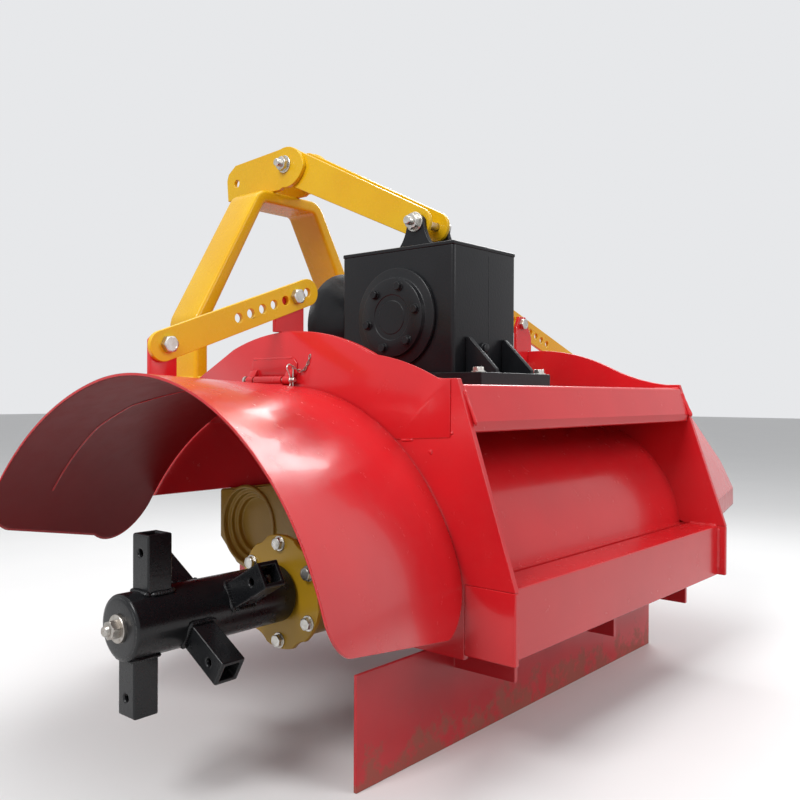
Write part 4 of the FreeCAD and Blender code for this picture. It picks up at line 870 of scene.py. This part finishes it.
case = rounded_box(case_low, case_high, 0.010, 0.0015)
line_x, line_y = case_high.x - 0.0008, hitch_y + 0.026
mould_line = bead([(line_x, line_y, 0.872), (line_x, line_y, 1.150)], (1, 0, 0), 0.0018, ripple=0.0)
settled(skin("gearbox_casting", [case, mould_line]), "frame", "black_paint", black_paint, ["gearbox_case"])
softened("gearbox_lid", black_paint, 0.0035, 3)
foot_paint = painted("black_fabricated", black, grey_black, bare=(0.22, 0.22, 0.22, 1), wear=0.8, dust=0.05,
                     **black_look)
softened("gearbox_foot", foot_paint, 0.0025, 3)
cover_x, cover_z, cover_y, cover_wall = 0.0897, 0.982, case_low.y, 0.026
cover = [(-0.001, 0.133), (0.006, 0.135), (0.0105, 0.134), (0.012, 0.131), (0.012, 0.112), (0.014, 0.108),
         (0.020, 0.106), (0.0245, 0.105), (cover_wall, 0.102), (cover_wall, 0.062), (0.0243, 0.060),
         (0.0243, 0.046), (cover_wall, 0.044), (cover_wall, 0)]
cover_rings = turned(cover, [(cover_x, cover_y, cover_z)], (0, -1, 0), 96)
settled(skin("gearbox_cover", cover_rings), "frame", "black_paint", black_paint, ["gearbox_side_cover"],
        crease=28)
heads = circle(cover_x, cover_y - cover_wall, cover_z, 0.086, 6, 12)
far_cover = turned([(0, 0.100), (0.010, 0.100), (0.012, 0.098), (0.012, 0)],
                   [(cover_x, case_high.y - 0.001, cover_z)], (0, 1, 0), 64)
plug = turned([(0, 0.015), (0.006, 0.015), (0.007, 0.012), (0.014, 0.012), (0.015, 0.010), (0.015, 0)],
              [(case_high.x - 0.001, hitch_y, 0.90)], (1, 0, 0), 24)
settled(skin("gearbox_bolts_black", bolt(heads, (0, -1, 0), 0.012) + far_cover + plug),
        "frame", "black_paint", black_paint)
feet = [(x, hitch_y + y, 0.832) for x in (0.360, -0.122) for y in (-0.135, 0.153)]
steel("gearbox_foot_bolts", bolt(feet, (0, 0, 1), 0.016))

shaft_z = 0.975
flare = [(0, 0.1610), (0, 0.1655), (0.002, 0.1665), (0.020, 0.1550), (0.024, 0.1490), (0.046, 0.1320),
         (0.050, 0.1260), (0.078, 0.1050), (0.082, 0.1000), (0.1085, 0.0800), (0.110, 0.0785),
         (0.110, 0.0725), (0.104, 0.0770), (0.078, 0.0980), (0.046, 0.1240), (0.022, 0.1430), (0, 0.1605)]
guard = turned(flare, [(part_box("input_guard")[0].x, hitch_y, shaft_z)], (1, 0, 0), 96)
settled(skin("input_guard_cone", guard, looped=True), "frame", slot_of["input_guard"], black_paint,
        ["input_guard"])
around = np.linspace(0, 2 * np.pi, 145)[:-1]
teeth = 0.0160 + 0.0014 * np.clip(np.sin(around * 12) * 3, -1, 1)
along = np.array([0, 0.003, 0.070, 0.086, 0.088, 0.104, 0.106, 0.110, 0.222])
radius = np.where(along[:, None] < 0.087, teeth[None], 0.0172)
radius[0] = 0.0135
radius[(along > 0.104)] = 0.0295
radius[-2:] = 0.0300
rings = np.empty((len(along), len(around), 3))
rings[..., 0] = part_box("input_shaft")[0].x + along[:, None]
rings[..., 1] = hitch_y + radius * np.cos(around)
rings[..., 2] = shaft_z + radius * np.sin(around)
settled(skin("input_spline", [rings]), "input", slot_of["input_shaft"], bare_steel, ["input_shaft"],
        crease=40)


# ---- side case -------------------------------------------------------------------------------
# The cast drive case on the left plate in olive-yellow paint, with a stepped bore at its front, and the
# scalloped golden flange that carries the impeller's bearing on six bolts.

cast_look = dict(bare=(0.30, 0.25, 0.16, 1), peel=120, coat=0.1, bump=0.00035)
olive_paint = painted("olive_casting", (0.46, 0.27, 0.030, 1), (0.34, 0.20, 0.028, 1), wear=0.7, dust=0.22,
                      mud=0.30, rough=0.36, **cast_look)
softened("side_case", olive_paint, 0.004, 3)
softened("cross_tube", black_paint, 0.003, 3)
golden_paint = painted("golden_casting", (0.62, 0.36, 0.014, 1), (0.50, 0.28, 0.012, 1), wear=0.6,
                       dust=0.12, mud=0.16, rough=0.34, **cast_look)
softened("bearing_flange", golden_paint, 0.0022, 3)
ring_x, ring_z, ring_y = rotor_x - 0.287, rotor_z + 0.096, face_y - 0.028
lip = [(0.0, 0.1015), (0.004, 0.1005), (0.0055, 0.0985), (0.0055, 0.0950), (0.004, 0.0930), (0, 0.0922)]
settled(skin("side_case_lip", turned(lip, [(ring_x, ring_y, ring_z)], (0, -1, 0), 80), looped=True),
        "frame", slot_of["side_case"], olive_paint)
flange_spots = circle(rotor_x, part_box("bearing_flange")[0].y, rotor_z, 0.104, 6, 30)
steel("flange_bolts", bolt(flange_spots, (0, -1, 0), 0.0145))


# ---- impeller --------------------------------------------------------------------------------
# A heavy tube on the shaft's left end with six square sockets welded to it, in black paint rubbed down
# to dark metal. Hammer shanks go into the sockets, each held by a bolt through its cross hole.

impeller_paint = painted("black_rubbed", (0.0055, 0.0058, 0.0070, 1), (0.0095, 0.0100, 0.0115, 1),
                         bare=(0.17, 0.17, 0.17, 1), wear=0.8, dust=0.06, mud=0.0, peel=170, rough=0.26,
                         coat=0.06, bump=0.00022, dust_colour=(0.14, 0.12, 0.10, 1), shine=0.30)
softened("impeller_tube", impeller_paint, 0.006, 4)
tube_radius, side = 0.061, 0.026
impeller_seams = []
for index in range(6):
    softened("impeller_socket_%d" % index, impeller_paint, 0.004, 3)
    station, half_turn = index // 2, index % 2
    y = face_y - (0.521 - 0.098 * station - 0.029 * half_turn)
    angle = np.radians(-90 + 60 * station + 180 * half_turn)
    out = np.array([np.cos(angle), 0, np.sin(angle)])
    wide = np.array([-np.sin(angle), 0, np.cos(angle)])
    square = rounded([(-side, -side), (side, -side), (side, side), (-side, side)], 0.006, 6)
    square = np.concatenate([square, square[:1]])
    deep = np.sqrt(tube_radius ** 2 - square[:, 0] ** 2)
    line = (np.array([rotor_x, y, rotor_z]) + deep[:, None] * out + square[:, :1] * wide * 1.03
            + square[:, 1:] * np.array([0, 1.03, 0]))
    impeller_seams.append(bead(line, out, 0.0055, ripple=0.22, pitch=0.0055))
settled(skin("impeller_seams", impeller_seams), "rotor", "black_paint", impeller_paint)

shaft_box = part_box("rotor_shaft")
tip_y, end_y, tube_end = shaft_box[0].y, shaft_box[1].y, face_y - 0.560
shape = [(tip_y, 0), (tip_y, 0.0084)]
thread = np.arange(tip_y + 0.0015, tube_end - 0.0250, 0.0010)
shape += [(y, 0.0100 if k % 2 else 0.0092) for k, y in enumerate(thread)]
shape += [(tube_end + y, radius) for y, radius in (
    (-0.0245, 0.0100), (-0.0240, 0.0135), (-0.0225, 0.0168), (-0.0215, 0.0185), (-0.0090, 0.0185),
    (-0.0080, 0.0175), (-0.0077, 0.0250), (-0.0065, 0.0260), (-0.0010, 0.0260), (0, 0.0250), (0, 0.0300))]
shape += [(end_y - 0.001, 0.0300), (end_y, 0.0285), (end_y, 0)]
shape = np.array(shape)
nut = (shape[:, 0] > tube_end - 0.0241) & (shape[:, 0] < tube_end - 0.0079) & (shape[:, 1] > 0.0130)
hexed = np.where(nut, 0.0160, 0)
shaft = turned(shape, [(rotor_x, 0, rotor_z)], (0, 1, 0), 48, hexed)
settled(skin("rotor_shaft_bar", shaft), "rotor", slot_of["rotor_shaft"], bare_steel, ["rotor_shaft"])

cap = [(0, 0.0262), (0.0014, 0.0266), (0.0018, 0.0500), (0.0010, 0.0545), (0, 0.0560)]
end_plate = turned(cap, [(rotor_x, tube_end, rotor_z)], (0, -1, 0), 64)
settled(skin("impeller_end_plate", end_plate, looped=True), "rotor", "black_paint", impeller_paint)


# ---- tiller ----------------------------------------------------------------------------------
# The rotor under the hood: a tube with six flanges, four bent blades on each. Soil keeps the blades
# bright at their edges and brown with rust and earth elsewhere.

soil_steel = painted("soil_worn_steel", (0.060, 0.045, 0.035, 1), (0.105, 0.070, 0.045, 1),
                     bare=(0.42, 0.38, 0.33, 1), wear=1.0, dust=0.6, mud=0.0, peel=110, rough=0.5, coat=0.0,
                     bump=0.0004, dust_colour=(0.16, 0.10, 0.06, 1))
softened("tiller_tube", soil_steel, 0.002)
for index in range(6):
    softened("tiller_set_%d" % index, soil_steel, 0.0012)
